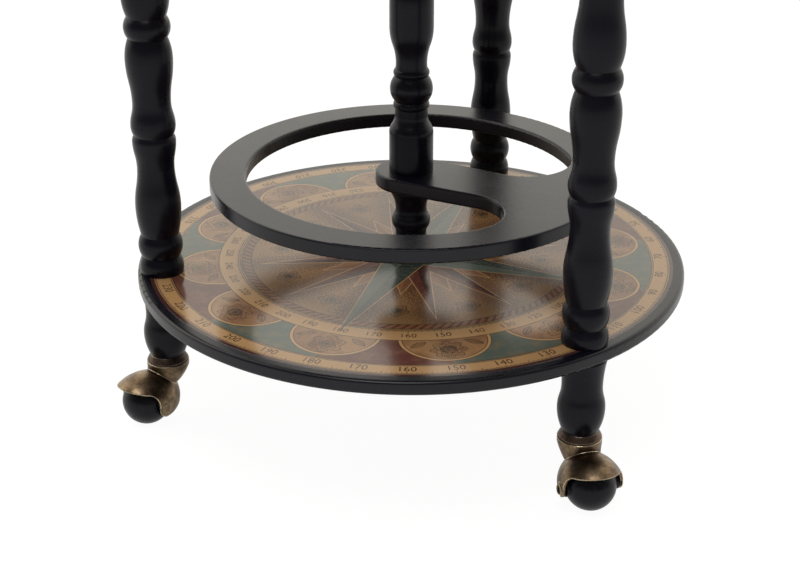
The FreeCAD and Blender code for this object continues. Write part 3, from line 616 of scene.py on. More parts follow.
def leafMask(tree, along, across):  # a leaf each side, with its midrib and veins
    turn = math.radians(leaf["turn"])
    length, width = leaf["size"]
    outward = minus(tree, along, leaf["place"][0])
    sideways = minus(tree, calc(tree, "ABSOLUTE", across), leaf["place"][1])
    onLeaf = calc(tree, "MULTIPLY_ADD", outward, math.cos(turn), times(tree, sideways, math.sin(turn)))
    offRib = calc(tree, "MULTIPLY_ADD", sideways, math.cos(turn), times(tree, outward, -math.sin(turn)))
    away = calc(tree, "ABSOLUTE", offRib)
    taper = calc(tree, "DIVIDE", onLeaf, length)
    half = times(tree, minus(tree, 1.0, times(tree, taper, taper)), width)
    inside = minus(tree, half, away)
    within = ramped(tree, inside, 0.0, pen["soft"])
    edge = lineMask(tree, inside, 0.0, rose["line"] / 2, pen["soft"])
    rib = times(tree, lineMask(tree, away, 0.0, rose["line"] / 3, pen["soft"]), within)
    wave = calc(tree, "FRACT", times(tree, calc(tree, "ADD", onLeaf, away), leaf["veins"] / length))
    veins = times(tree, calc(tree, "GREATER_THAN", wave, leaf["veinGap"]), within)
    return anyOf(tree, [edge, rib, times(tree, veins, leaf["veinShare"])])


def paintPanels(tree, colour, point, radius, angle, press):  # arched panels, teal and maroon between them
    ink = printInks
    count = panels["count"]
    along, across = fromPolar(tree, radius, folded(tree, angle, math.tau / count))
    along = minus(tree, along, panels["centre"])
    reach = spread(tree, along, across)
    zone = bandMask(tree, radius, rose["scaleOuter"], rose["panelOuter"], pen["soft"])
    between = mixed(tree, everyOther(tree, angle, count), ink["teal"], ink["maroon"])
    fleck = times(tree, softNoise(tree, point, panels["fleck"]), panels["fleckShare"])
    colour = mixed(tree, zone, colour, mixed(tree, fleck, between, ink["tan"]))
    edges = (panels["radius"], panels["radius"] - panels["frame"])
    arch, panel = [times(tree, discMask(tree, reach, edge), zone) for edge in edges]
    colour = mixed(tree, arch, colour, ink["cream"])
    wash = softNoise(tree, point, panels["wash"])
    colour = mixed(tree, panel, colour, mixed(tree, wash, ink["tan"], ink["brown"]))

    # A flower between two leaves in each panel
    outward = minus(tree, along, panels["flowerPlace"])
    even, odd = [
        flowerMask(tree, outward, across, panels["flowerSize"], petals) for petals in panels["flowerPetals"]
    ]
    byTurns = everyOther(tree, angle, count, panels["flowerStart"])
    blossom = calc(tree, "MULTIPLY_ADD", minus(tree, odd, even), byTurns, even)
    drawn = times(tree, anyOf(tree, [blossom, leafMask(tree, along, across)]), panel)
    colour = mixed(tree, times(tree, drawn, press), colour, ink["ink"])
    frames = [lineMask(tree, reach, edge, rose["line"] / 3, pen["soft"]) for edge in edges]
    return colour, [times(tree, line, zone) for line in frames]


def paintRose(tree, colour, point, radius, angle, press):  # the rose's points, with what lies between them
    ink = printInks
    inDisc = discMask(tree, radius, rose["disc"])
    dots = noise(tree, point, *star["dots"])
    stars = [
        useGroup(tree, starPoints, Radius=radius, Angle=angle, Count=float(count), Tip=tip, Valley=valley)
        for count, tip, valley, light, dark in star["points"]
    ]
    for longStar in stars[1:]:   # stippled shade beside the longer points
        shade = ramped(tree, longStar["Inside"], -star["stippleReach"], 0.0, *star["stippleLevels"])
        stipple = times(tree, calc(tree, "LESS_THAN", dots, shade), inDisc)
        colour = mixed(tree, times(tree, stipple, star["stippleShare"]), colour, ink["maroonDark"])

    # Small flowers between the points, inside a rope border
    step = math.tau / panels["count"]
    fold = folded(tree, calc(tree, "ADD", angle, step / 2), step)
    outward, sideways = fromPolar(tree, radius, fold)
    outward = minus(tree, outward, star["sprigPlace"])
    sprig = flowerMask(tree, outward, sideways, star["sprigSize"], star["sprigPetals"])
    colour = mixed(tree, times(tree, sprig, press), colour, ink["ink"])
    low, high = star["rope"]
    twist = times(tree, minus(tree, radius, low), star["ropeTwist"] / (high - low))
    twist = calc(tree, "FRACT", calc(tree, "MULTIPLY_ADD", angle, star["ropeStrands"] / math.tau, twist))
    strand = mixed(tree, calc(tree, "GREATER_THAN", twist, star["ropeGap"]), ink["ochre"], ink["maroon"])
    colour = mixed(tree, bandMask(tree, radius, low, high, pen["soft"]), colour, strand)

    worn = times(tree, softNoise(tree, point, star["worn"]), star["wornShare"])
    for points, (count, tip, valley, light, dark) in zip(stars, star["points"]):
        halves = mixed(tree, worn, mixed(tree, points["Half"], ink[light], ink[dark]), ink["tan"])
        for edge, tint in ((-star["frame"], ink["cream"]), (0.0, halves)):
            colour = mixed(tree, ramped(tree, points["Inside"], edge, edge + pen["soft"]), colour, tint)
    return mixed(tree, discMask(tree, radius, rose["medallion"]), colour, ink["cream"])


def shelfPaper():
    finish, tree, skin = newFinish("shelf_paper")
    ink = printInks
    point, radius, angle = discPlace(tree, "shelf_print")
    paper = useGroup(tree, agedPaper, Vector=point, Light=ink["tan"], Dark=ink["gold"], Stain=ink["brown"])
    press = softNoise(tree, point, rose["press"], *rose["pressShares"])
    colour, lines = paintPanels(tree, paper["Color"], point, radius, angle, press)
    for inner, outer in (("disc", "scaleOuter"), ("panelOuter", "rimInner")):   # the number bands
        band = bandMask(tree, radius, rose[inner], rose[outer], pen["soft"])
        colour = mixed(tree, times(tree, band, rose["bandShare"]), colour, ink["cream"])
    colour = paintRose(tree, colour, point, radius, angle, press)
    rings = ("medallion", "hubLine", "disc", "discLine", "scaleOuter", "panelOuter", "panelLine", "rimLine")
    for at in (*[rose[name] for name in rings], *star["rope"]):
        lines.append(lineMask(tree, radius, at, rose["line"] / 2, pen["soft"]))
    low, high = rose["discLine"], rose["rimLine"]
    for count, length, half in rose["scaleTicks"]:
        lines.append(tickMask(tree, angle, radius, count, low, low + length, half))
    for count, length, half in rose["rimTicks"]:
        lines.append(tickMask(tree, angle, radius, count, high - length, high, half))
    printCoat(tree, skin, point, radius, colour, lines, rose["rimInner"])
    return finish


# The horizon ring's print, and the ink of the numbers on both

horizonBand = {  # lengths as shares of the print's radius
    "blocks": (0.878, 0.905),
    "blockCount": 48,
    "blockShare": 0.9,
    "rails": (0.913, 0.972),
    "rimInner": 0.982,
    "line": 0.0018,
    "ticks": ((360, 0.014, 0.0007), (72, 0.022, 0.0012)),        # count, length and half width
}


def horizonPaper():
    finish, tree, skin = newFinish("horizon_paper")
    ink = printInks
    point, radius, angle = discPlace(tree, "horizon_print")
    paper = useGroup(tree, agedPaper, Vector=point, Light=ink["cream"], Dark=ink["tan"], Stain=ink["brown"])
    count = horizonBand["blockCount"]
    block = mixed(tree, everyOther(tree, angle, count / 2), ink["teal"], ink["maroon"])
    block = mixed(tree, everyOther(tree, angle, count), block, ink["cream"])
    low, high = horizonBand["blocks"]
    zone = bandMask(tree, radius, low, high, pen["soft"] / 2)
    colour = mixed(tree, times(tree, zone, horizonBand["blockShare"]), paper["Color"], block)
    half = horizonBand["line"] / 2
    lines = [lineMask(tree, radius, at, half, pen["soft"]) for at in (low, high, *horizonBand["rails"])]
    for number, length, half in horizonBand["ticks"]:
        lines.append(tickMask(tree, angle, radius, number, low - length, low, half))
    printCoat(tree, skin, point, radius, colour, lines, horizonBand["rimInner"])
    return finish


def numeralInk():
    finish, tree, skin = newFinish("numeral_ink")
    press = softNoise(tree, objectPoint(tree), pen["numeralPress"])
    wire(tree, skin["Base Color"], mixed(tree, press, printInks["ink"], printInks["brown"]))
    wire(tree, skin["Roughness"], ramped(tree, press, 0.0, 1.0, pen["gloss"], pen["glossWorn"]))
    return finish


# Metal and rubber of the casters

brass = {
    "antique_brass": {
        "gold": paint(136, 116, 91),
        "bronze": paint(86, 70, 56),
        "patina": paint(41, 33, 29),
    },
    "collar_bronze": {
        "gold": paint(100, 84, 74),
        "bronze": paint(64, 51, 46),
        "patina": paint(32, 26, 25),
    },
    "worn": paint(224, 206, 174),
    "mottle": (75.0, 6.0, 0.62, 0.36, 0.68),
    "grime": (190.0, 5.0, 0.7, 0.44, 0.66),
    "grimeShare": 0.4,
    "speck": (900.0, 2.0, 0.6, 0.56, 0.7),
    "speckShare": 0.35,
    "hollowReach": 6.0 * mm,
    "hollowEdges": (0.35, 0.9),
    "wornEdge": 1.4 * mm,
    "edgeFacing": (0.86, 0.985),
    "edgeShares": (1.0, 0.6),
    "smooth": 0.29,
    "rough": 0.4,
    "grimeRough": 0.12,
    "edgePolish": 0.1,
    "pits": 0.05,
    "bump": (0.6, 0.6 * mm),     # strength and depth
}

rivet = {
    "radius": 5.0 * mm,          # of the flush head that ends the axle
    "groove": 0.3 * mm,
    "grooveShare": 0.8,
    "bore": 2.7 * mm,            # of the hollow end, painted near black as shade inside it
    "boreShadeEdge": 0.2 * mm,
    "clear": 20.0 * mm,          # no marks nearer to the ball's middle
    # near black: painted shade for the inside of the hollow end's bore
    "hole": paint(10, 9, 8),
}


def axlePlace(tree, side):  # from the ball's middle: the whole offset, and how far along the axle
    middle, axis = jointPlace(f"ball_roll_{side}")
    offset = vectorCalc(tree, "SUBTRACT", objectPoint(tree), middle)[0]
    return offset, toward(tree, offset, axis)


def rivetGrooveAndBoreShade(tree, side):  # the groove round the closed head, and painted shade inside the bore of the hollow one
    offset, along = axlePlace(tree, side)
    length = vectorCalc(tree, "LENGTH", offset)["Value"]
    away = calc(tree, "SQRT", minus(tree, times(tree, length, length), times(tree, along, along)))
    groove = lineMask(tree, away, rivet["radius"], rivet["groove"] / 2, rivet["groove"])
    groove = times(tree, groove, calc(tree, "GREATER_THAN", along, rivet["clear"]))
    # a disc of painted shade where the hollow end's bore goes in
    bore = ramped(tree, away, rivet["bore"], rivet["bore"] + rivet["boreShadeEdge"], 1.0, 0.0)
    bore = times(tree, bore, calc(tree, "LESS_THAN", along, -rivet["clear"]))
    return groove, bore


def antiqueBrass(name, side=None):
    finish, tree, skin = newFinish(f"{name}_{side}" if side else name)
    tone = brass[name]
    point = objectPoint(tree)
    mottle = softNoise(tree, point, brass["mottle"])
    colour = mixed(tree, mottle, tone["gold"], tone["bronze"])
    grime = softNoise(tree, point, brass["grime"])
    speck = softNoise(tree, point, brass["speck"])
    hollow = addNode(tree, "AmbientOcclusion", {"Distance": brass["hollowReach"]}, samples=8).outputs["AO"]
    dark = ramped(tree, hollow, *brass["hollowEdges"], 1.0, 0.0)
    for mask, share in ((grime, brass["grimeShare"]), (speck, brass["speckShare"])):
        dark = calc(tree, "MULTIPLY_ADD", mask, share, dark)
    dark = calc(tree, "MINIMUM", dark, 1.0)
    colour = mixed(tree, dark, colour, tone["patina"])
    soft = softNormal(tree, brass["wornEdge"])
    facing = toward(tree, soft, addNode(tree, "NewGeometry").outputs["Normal"])
    edge = ramped(tree, facing, *brass["edgeFacing"], 1.0, 0.0)
    edge = times(tree, edge, ramped(tree, mottle, 0.0, 1.0, *brass["edgeShares"]))
    colour = mixed(tree, edge, colour, brass["worn"])
    height = times(tree, grime, brass["pits"])
    if side:
        groove, bore = rivetGrooveAndBoreShade(tree, side)
        colour = mixed(tree, times(tree, groove, rivet["grooveShare"]), colour, tone["patina"])
        # painted shade: the bore of the hollow end coloured near black
        colour = mixed(tree, bore, colour, rivet["hole"])
        height = minus(tree, height, groove)
    wire(tree, skin["Base Color"], colour)
    skin["Metallic"].default_value = 1.0
    shine = useGroup(tree, lacquerSkin, Vector=point, Smooth=brass["smooth"], Rough=brass["rough"])
    rough = calc(tree, "MULTIPLY_ADD", dark, brass["grimeRough"], shine["Roughness"])
    wire(tree, skin["Roughness"], calc(tree, "MULTIPLY_ADD", edge, -brass["edgePolish"], rough))
    wire(tree, skin["Normal"], bumped(tree, height, *brass["bump"], soft))
    return finish


ballLook = {
    "black": paint(9, 10, 18),
    "dusty": paint(18, 19, 28),
    "dust": (240.0, 5.0, 0.7, 0.42, 0.72),
    "grooveStep": 1.1 * mm,
    "grooveEdges": (0.55, 1.0),
    "bump": (0.25, 0.15 * mm),
    "roughness": (0.24, 0.4),
    "level": 0.2,
}


def ballRubber(side):
    finish, tree, skin = newFinish(f"caster_black_{side}")
    along = axlePlace(tree, side)[1]
    wave = calc(tree, "COSINE", times(tree, along, math.tau / ballLook["grooveStep"]))
    groove = ramped(tree, wave, *ballLook["grooveEdges"], 1.0, 0.0)
    dust = softNoise(tree, objectPoint(tree), ballLook["dust"])
    wire(tree, skin["Base Color"], mixed(tree, dust, ballLook["black"], ballLook["dusty"]))
    wire(tree, skin["Roughness"], ramped(tree, dust, 0.0, 1.0, *ballLook["roughness"]))
    skin["Specular IOR Level"].default_value = ballLook["level"]
    wire(tree, skin["Normal"], bumped(tree, groove, *ballLook["bump"]))
    return finish


zincLook = {
    "light": paint(176, 178, 182),
    "dark": paint(140, 142, 147),
    "bloom": (160.0, 5.0, 0.6, 0.3, 0.7),
    "roughness": (0.28, 0.42),
}


def zincSteel():
    finish, tree, skin = newFinish("zinc_steel")
    bloom = softNoise(tree, objectPoint(tree), zincLook["bloom"])
    wire(tree, skin["Base Color"], mixed(tree, bloom, zincLook["light"], zincLook["dark"]))
    skin["Metallic"].default_value = 1.0
    wire(tree, skin["Roughness"], ramped(tree, bloom, 0.0, 1.0, *zincLook["roughness"]))
    return finish


# Stained wood of the tray and the lid's hoop

trayLook = {
    "light": paint(150, 92, 54),
    "dark": paint(84, 46, 28),
    "pore": paint(48, 26, 18),
    "grainStretch": (1.0, 9.0, 9.0),
    "grain": (11.0, 5.0, 0.55),
    "rings": 9.0,
    "poreStretch": (1.0, 26.0, 26.0),
    "pores": (60.0, 4.0, 0.7),
    "poreEdges": (0.56, 0.72),
    "smooth": 0.26,
    "rough": 0.4,
    "bump": (0.08, 0.3 * mm),
}


def trayWood():
    finish, tree, skin = newFinish("tray_wood")
    point = objectPoint(tree)
    grain = noise(tree, moved(tree, point, scale=trayLook["grainStretch"]), *trayLook["grain"])
    rings = calc(tree, "FRACT", times(tree, grain, trayLook["rings"]))
    colour = mixed(tree, ramped(tree, rings, 0.0, 1.0), trayLook["light"], trayLook["dark"])
    pores = noise(tree, moved(tree, point, scale=trayLook["poreStretch"]), *trayLook["pores"])
    colour = mixed(tree, ramped(tree, pores, *trayLook["poreEdges"]), colour, trayLook["pore"])
    wire(tree, skin["Base Color"], colour)
    glossSkin(tree, skin, point, trayLook["smooth"], trayLook["rough"])
    wire(tree, skin["Normal"], bumped(tree, pores, *trayLook["bump"]))
    return finish


# The globe's printed map: paper skins on the two shells

globe = {  # angles in degrees
    "segments": 288,
    "rings": 144,
    "gap": 0.02 * mm,
    "thickness": 0.05 * mm,
    "smoothAngle": 40.0,
    "frontLongitude": 10.0,      # the meridian that faces the front
    "coastStep": 3.0,            # between points along a coast
    "wobble": (7.0, 7.0, 0.62),
    "coastWobble": 5.0,
    "coastEdge": 0.06,
    "coastLine": (0.14, 0.12),   # half width and soft edge
    "coastShare": 0.9,
    "iceLatitude": -70.0,
    "grid": 15.0,
    "gridHalf": 0.07,
    "gridShare": 0.4,
    "scaleEdges": (0.45, 0.52),
    "scaleBars": 0.1,            # bars in a degree
    "circles": (23.4, 66.6),     # tropics and polar circles
    "circleLine": (0.14, 0.1),
    "dashes": 0.4,
    "dashGap": 0.35,
    "gores": 12,
    "goreHalf": 0.05,
    "goreShare": 0.45,
    "goreDepth": 0.6,
    "stain": paint(112, 78, 50),
    "ink": paint(58, 40, 32),
    "smooth": 0.24,
    "rough": 0.36,
    "bump": (0.1, 0.2 * mm),
}

seaLook = {
    "tints": (paint(166, 140, 100), paint(146, 122, 86)),
    "shallows": paint(104, 106, 90),
    "shallowReach": 6.0,
    "shallowShare": 0.55,
    "ruling": 2.0,               # lines in a degree
    "rulingGap": 0.66,
    "rulingShare": 0.5,
    "fringe": (40.0, 2.0),
    "fringeSwing": 2.0,
    "fringeEdges": (-0.9, -0.3),
    "roses": ((-35, 28), (-145, 12), (75, -32), (-110, -38), (10, -48), (165, 35)),
    "roseShare": 0.75,
    "rosePoints": 8.0,
    "roseSize": 0.13,            # lengths of a rose as shares of the globe's radius
    "roseValley": 0.039,
    "roseRing": 0.0936,
    "roseLine": (0.0012, 0.0014),
    "roseFill": 0.002,
    "rays": (32, 0.1365, 0.55, 0.0008),   # count, inner and outer end, half width
    "rayShare": 0.4,
}

landLook = {
    "tints": (
        paint(186, 152, 104), paint(162, 112, 82), paint(134, 128, 92),
        paint(172, 128, 70), paint(140, 92, 78),
    ),
    "bend": {"Scale": 5.0, "Detail": 4.0},
    "bendReach": 0.28,
    "patchScale": 3.6,
    "fade": (16.0, 6.0, 0.65, 0.35, 0.72),
    "fadeShare": 0.5,
    "borderLine": (0.009, 0.008),
    "borderGaps": (90.0, 1.0, 0.5, 0.45, 0.5),
    "borderShares": (0.2, 0.7),
    "ranges": (6.5, 3.0, 0.5, 0.56, 0.62),
    "hillStretch": (1, 1, 0.35),
    "hills": (130.0, 1.0),
    "hillGap": 0.42,
    "hillShare": 0.5,
}

coasts = (  # longitude and latitude of each turn of a coast
    ((-166, 66), (-156, 71), (-136, 69), (-115, 69), (-95, 72), (-82, 69), (-94, 61), (-92, 57), (-82, 55),
     (-79, 52), (-77, 56), (-78, 62), (-70, 61), (-64, 59), (-56, 53), (-66, 45), (-70, 42), (-75, 38),
     (-76, 35), (-81, 31), (-80, 26), (-83, 29), (-90, 30), (-97, 27), (-97, 21), (-91, 18), (-87, 21),
     (-88, 16), (-83, 11), (-79, 8), (-85, 10), (-95, 16), (-105, 20), (-112, 28), (-117, 33), (-124, 40),
     (-124, 48), (-133, 56), (-147, 61), (-158, 57), (-163, 60)),
    ((-79, 8), (-72, 12), (-62, 10), (-51, 4), (-44, -2), (-35, -7), (-39, -15), (-43, -23), (-49, -27),
     (-57, -36), (-65, -42), (-68, -52), (-74, -51), (-73, -40), (-70, -20), (-77, -13), (-81, -5),
     (-78, 2)),
    ((-17, 15), (-9, 30), (-6, 36), (10, 37), (20, 31), (32, 31), (37, 21), (43, 12), (51, 11), (46, 2),
     (40, -8), (40, -16), (35, -24), (30, -32), (19, -34), (12, -18), (13, -6), (9, 4), (-7, 5), (-14, 10)),
    ((-9, 37), (-9, 43), (-2, 44), (-4, 48), (4, 52), (9, 55), (5, 59), (12, 67), (25, 71), (40, 67),
     (60, 69), (72, 73), (90, 75), (105, 78), (125, 74), (150, 72), (178, 69), (172, 62), (163, 57),
     (157, 52), (155, 58), (142, 58), (136, 54), (140, 48), (130, 42), (127, 35), (124, 39), (119, 35),
     (122, 30), (114, 22), (106, 20), (109, 12), (103, 9), (103, 1), (98, 9), (97, 17), (90, 22), (85, 19),
     (80, 13), (77, 8), (73, 17), (70, 22), (62, 25), (57, 26), (59, 22), (52, 16), (44, 13), (40, 21),
     (35, 29), (36, 36), (28, 37), (23, 37), (19, 42), (16, 38), (9, 44), (3, 42), (-2, 37)),
    ((-73, 78), (-30, 83), (-20, 74), (-40, 65), (-45, 60), (-53, 67)),
    ((114, -22), (122, -17), (130, -12), (136, -12), (137, -16), (142, -11), (146, -19), (153, -26),
     (150, -37), (144, -39), (138, -34), (130, -32), (116, -35)),
    ((-5, 50), (1, 51), (0, 54), (-3, 59), (-6, 57)),
    ((44, -17), (50, -15), (47, -25), (44, -24)),
    ((130, 32), (136, 34), (141, 36), (142, 44), (139, 38)),
    ((109, 1), (117, 7), (118, 1), (115, -4), (110, -3)),
    ((95, 5), (104, -2), (105, -6), (101, -3)),
    ((131, -1), (141, -3), (150, -10), (139, -8)),
    ((166, -46), (173, -41), (178, -38), (174, -42), (170, -47)),
)


mapTurn = 90 + globe["frontLongitude"]   # from an angle about the post to a longitude


def onSphere(longitude, latitude):
    turn, rise = np.radians(longitude), np.radians(latitude)
    flat = np.cos(rise)
    return np.stack([flat * np.cos(turn), flat * np.sin(turn), np.sin(rise) + 0 * turn], axis=-1)


def inlandDegrees(points):  # how far inland a point is, below zero at sea
    points = points / np.linalg.norm(points, axis=1, keepdims=True)
    latitude = np.degrees(np.arcsin(points[:, 2]))
    longitude = wrapped(np.degrees(np.arctan2(points[:, 1], points[:, 0])) + mapTurn)
    places = onSphere(longitude, latitude)
    inland = globe["iceLatitude"] - latitude
    for coast in coasts:
        inside = np.zeros(len(points), bool)
        nearest = np.full(len(points), np.inf)
        for (lonA, latA), (lonB, latB) in zip(coast, coast[1:] + coast[:1]):
            if latA != latB:
                crossing = lonA + (latitude - latA) * (lonB - lonA) / (latB - latA)
                inside ^= ((latA > latitude) != (latB > latitude)) & (longitude < crossing)
            steps = math.ceil(max(abs(lonB - lonA), abs(latB - latA)) / globe["coastStep"])
            stops = onSphere(np.linspace(lonA, lonB, steps + 1), np.linspace(latA, latB, steps + 1))
            for start, end in zip(stops, stops[1:]):
                offset = places - start
                run = end - start
                share = np.clip(offset @ run / (run @ run), 0, 1)
                gap = np.linalg.norm(offset - share[:, None] * run, axis=1)
                nearest = np.minimum(nearest, gap)
        depth = np.degrees(nearest)
        inland = np.maximum(inland, np.where(inside, depth, -depth))
    return inland


def makeGlobeSkin(half, centre, radius, body):
    deselectAll()
    bpy.ops.mesh.primitive_uv_sphere_add(
        segments=globe["segments"], ring_count=globe["rings"],
        radius=radius + globe["gap"], location=(0, 0, centre),
    )
    piece = bpy.context.object
    piece.name = f"{half}_map"
    bpy.ops.object.mode_set(mode="EDIT")
    bpy.ops.mesh.select_all(action="SELECT")
    upper = half == "lid"
    bpy.ops.mesh.bisect(
        plane_co=(0, 0, centre), plane_no=(0, 0, 1),
        clear_inner=upper, clear_outer=not upper,
    )
    bpy.ops.object.mode_set(mode="OBJECT")
    places = np.array([vertex.co for vertex in piece.data.vertices])
    inland = piece.data.attributes.new("inland", "FLOAT", "POINT")
    inland.data.foreach_set("value", inlandDegrees(places))
    paper = piece.modifiers.new("paper", "SOLIDIFY")
    paper.thickness = globe["thickness"]
    paper.offset = 1.0
    bpy.ops.object.modifier_apply(modifier=paper.name)
    applyPlace(piece)
    bpy.ops.object.shade_smooth_by_angle(angle=math.radians(globe["smoothAngle"]))
    addPiece(piece, globePaper(half, centre, radius), body)


def unitPoint(tree, centre, radius):  # place on the globe, from its middle, as a share of its radius
    return moved(tree, objectPoint(tree), place=(0, 0, -centre / radius), scale=(1 / radius,) * 3)


def mapDegrees(tree, unit):  # longitude, latitude, and how much a meridian's step narrows there
    parts = addNode(tree, "SeparateXYZ", {"Vector": unit}).outputs
    rise = calc(tree, "ARCSINE", parts[2])
    turn = calc(tree, "DEGREES", calc(tree, "ARCTAN2", parts[1], parts[0]))
    longitude = calc(tree, "ADD", turn, mapTurn)
    return longitude, calc(tree, "DEGREES", rise), calc(tree, "COSINE", rise)


def gridMask(tree, degrees, step, squeeze, half):  # evenly spaced lines, narrowed towards the poles
    away = times(tree, calc(tree, "ABSOLUTE", folded(tree, degrees, step)), squeeze)
    return ramped(tree, away, half, half * pen["gridFade"], 1.0, 0.0)


def gridLines(tree, longitude, latitude, squeeze, step, half):
    meridians = gridMask(tree, longitude, step, squeeze, half)
    parallels = gridMask(tree, latitude, step, 1.0, half)
    return calc(tree, "MAXIMUM", meridians, parallels)


def dashMask(tree, degrees, count, gap):
    return calc(tree, "GREATER_THAN", calc(tree, "FRACT", times(tree, degrees, count)), gap)


def seaRose(tree, unit, longitude, latitude):  # a small star with rays, drawn on the sea
    turn = math.radians(longitude - mapTurn)
    rise = math.radians(latitude)
    out = (math.cos(rise) * math.cos(turn), math.cos(rise) * math.sin(turn), math.sin(rise))
    east = (-math.sin(turn), math.cos(turn), 0.0)
    north = (-math.sin(rise) * math.cos(turn), -math.sin(rise) * math.sin(turn), math.cos(rise))
    reach, angle = toPolar(tree, toward(tree, unit, east), toward(tree, unit, north))
    points = useGroup(
        tree, starPoints, Radius=reach, Angle=angle,
        Count=seaLook["rosePoints"], Tip=seaLook["roseSize"], Valley=seaLook["roseValley"],
    )
    filled = ramped(tree, points["Inside"], 0.0, seaLook["roseFill"])
    dark = times(tree, filled, points["Half"])
    outline = lineMask(tree, points["Inside"], 0.0, *seaLook["roseLine"])
    ring = lineMask(tree, reach, seaLook["roseRing"], *seaLook["roseLine"])
    ring = times(tree, ring, minus(tree, 1.0, filled))
    rays = times(tree, tickMask(tree, angle, reach, *seaLook["rays"]), seaLook["rayShare"])
    near = calc(tree, "GREATER_THAN", toward(tree, unit, out), 0.0)
    return times(tree, anyOf(tree, [dark, outline, ring, rays]), near)


def seaColour(tree, unit, latitude, shore):  # shaded and ruled towards the coasts, with roses; and its grain
    light, dark = seaLook["tints"]
    sea = useGroup(tree, agedPaper, Vector=unit, Light=light, Dark=dark, Stain=globe["stain"])
    shallow = ramped(tree, shore, -seaLook["shallowReach"], 0.0, 0.0, seaLook["shallowShare"])
    colour = mixed(tree, shallow, sea["Color"], seaLook["shallows"])
    stripes = dashMask(tree, latitude, seaLook["ruling"], seaLook["rulingGap"])
    fringe = noise(tree, unit, *seaLook["fringe"])
    fringe = calc(tree, "MULTIPLY_ADD", fringe, seaLook["fringeSwing"], shore)
    ruled = times(tree, stripes, ramped(tree, fringe, *seaLook["fringeEdges"]))
    colour = mixed(tree, times(tree, ruled, seaLook["rulingShare"]), colour, globe["ink"])
    roses = anyOf(tree, [seaRose(tree, unit, *place) for place in seaLook["roses"]])
    colour = mixed(tree, times(tree, roses, seaLook["roseShare"]), colour, globe["ink"])
    return colour, sea["Grain"]


def landColour(tree, unit):  # tinted patches with drawn borders and hills
    bent = addNode(tree, "TexNoise", {"Vector": unit, **landLook["bend"]}).outputs["Color"]
    place = vectorCalc(tree, "MULTIPLY_ADD", bent, (landLook["bendReach"],) * 3, unit)[0]
    patches = {"Vector": place, "Scale": landLook["patchScale"]}
    cells = addNode(tree, "TexVoronoi", patches).outputs["Color"]
    edges = addNode(tree, "TexVoronoi", patches, feature="DISTANCE_TO_EDGE").outputs["Distance"]
    pick = addNode(tree, "SeparateColor", {0: cells}).outputs[0]
    first, *others = landLook["tints"]
    colour = first
    for index, tint in enumerate(others, 1):
        chosen = calc(tree, "GREATER_THAN", pick, index / len(landLook["tints"]))
        colour = mixed(tree, chosen, colour, tint)
    colour = mixed(tree, softNoise(tree, unit, landLook["fade"], 0.0, landLook["fadeShare"]), colour, first)
    border = lineMask(tree, edges, 0.0, *landLook["borderLine"])
    border = times(tree, border, softNoise(tree, unit, landLook["borderGaps"], *landLook["borderShares"]))
    colour = mixed(tree, border, colour, globe["ink"])
    slopes = noise(tree, moved(tree, unit, scale=landLook["hillStretch"]), *landLook["hills"])
    hills = calc(tree, "LESS_THAN", slopes, landLook["hillGap"])
    hills = times(tree, softNoise(tree, unit, landLook["ranges"]), hills)
    return mixed(tree, times(tree, hills, landLook["hillShare"]), colour, globe["ink"])


def mapLines(tree, colour, longitude, latitude, squeeze):  # grid, scale, circles and the joints of the gores
    ink = globe["ink"]
    grid = gridLines(tree, longitude, latitude, squeeze, globe["grid"], globe["gridHalf"])
    colour = mixed(tree, times(tree, grid, globe["gridShare"]), colour, ink)
    fromEquator = calc(tree, "ABSOLUTE", latitude)
    bars = mixed(tree, dashMask(tree, longitude, globe["scaleBars"], 0.5), landLook["tints"][0], ink)
    colour = mixed(tree, ramped(tree, fromEquator, *globe["scaleEdges"], 1.0, 0.0), colour, bars)
    circles = anyOf(tree, [lineMask(tree, fromEquator, at, *globe["circleLine"]) for at in globe["circles"]])
    dashes = dashMask(tree, longitude, globe["dashes"], globe["dashGap"])
    colour = mixed(tree, times(tree, circles, dashes), colour, ink)
    joints = gridMask(tree, longitude, 360 / globe["gores"], squeeze, globe["goreHalf"])
    return mixed(tree, times(tree, joints, globe["goreShare"]), colour, globe["stain"]), joints


def globePaper(half, centre, radius):
    finish, tree, skin = newFinish(f"globe_paper_{half}")
    unit = unitPoint(tree, centre, radius)
    longitude, latitude, squeeze = mapDegrees(tree, unit)
    wobble = minus(tree, noise(tree, unit, *globe["wobble"]), 0.5)
    inland = addNode(tree, "Attribute", attribute_name="inland").outputs["Fac"]
    shore = calc(tree, "MULTIPLY_ADD", wobble, globe["coastWobble"], inland)
    colour, grain = seaColour(tree, unit, latitude, shore)
    land = ramped(tree, shore, -globe["coastEdge"], globe["coastEdge"])
    colour = mixed(tree, land, colour, landColour(tree, unit))
    coast = times(tree, lineMask(tree, shore, 0.0, *globe["coastLine"]), globe["coastShare"])
    colour = mixed(tree, coast, colour, globe["ink"])
    colour, joints = mapLines(tree, colour, longitude, latitude, squeeze)
    wire(tree, skin["Base Color"], colour)
    glossSkin(tree, skin, unit, globe["smooth"], globe["rough"])
    height = calc(tree, "MULTIPLY_ADD", joints, -globe["goreDepth"], grain)
    wire(tree, skin["Normal"], bumped(tree, height, *globe["bump"]))
    return finish


lining = {
    "night": (paint(28, 50, 56), paint(20, 34, 44)),
    "gold": paint(176, 142, 84),
    "edge": paint(14, 14, 16),
    "clouds": (3.5, 6.0, 0.6, 0.35, 0.68),
    "grid": 30.0,
    "gridHalf": 0.09,
    "wear": (60.0, 3.0, 0.6, 0.35, 0.6),
    "wearShares": (0.35, 0.9),
    "stars": ((11.0, 0.085), (25.3, 0.0935)),   # how dense, and how large
    "starCore": 0.75,
    "gilding": 0.6,
    "rims": {"lid": (1.0, 0.004, 0.006), "bowl": (-1.0, 0.002, 0.004)},   # way in, and edges
    "roughness": (0.4, 0.55),
}


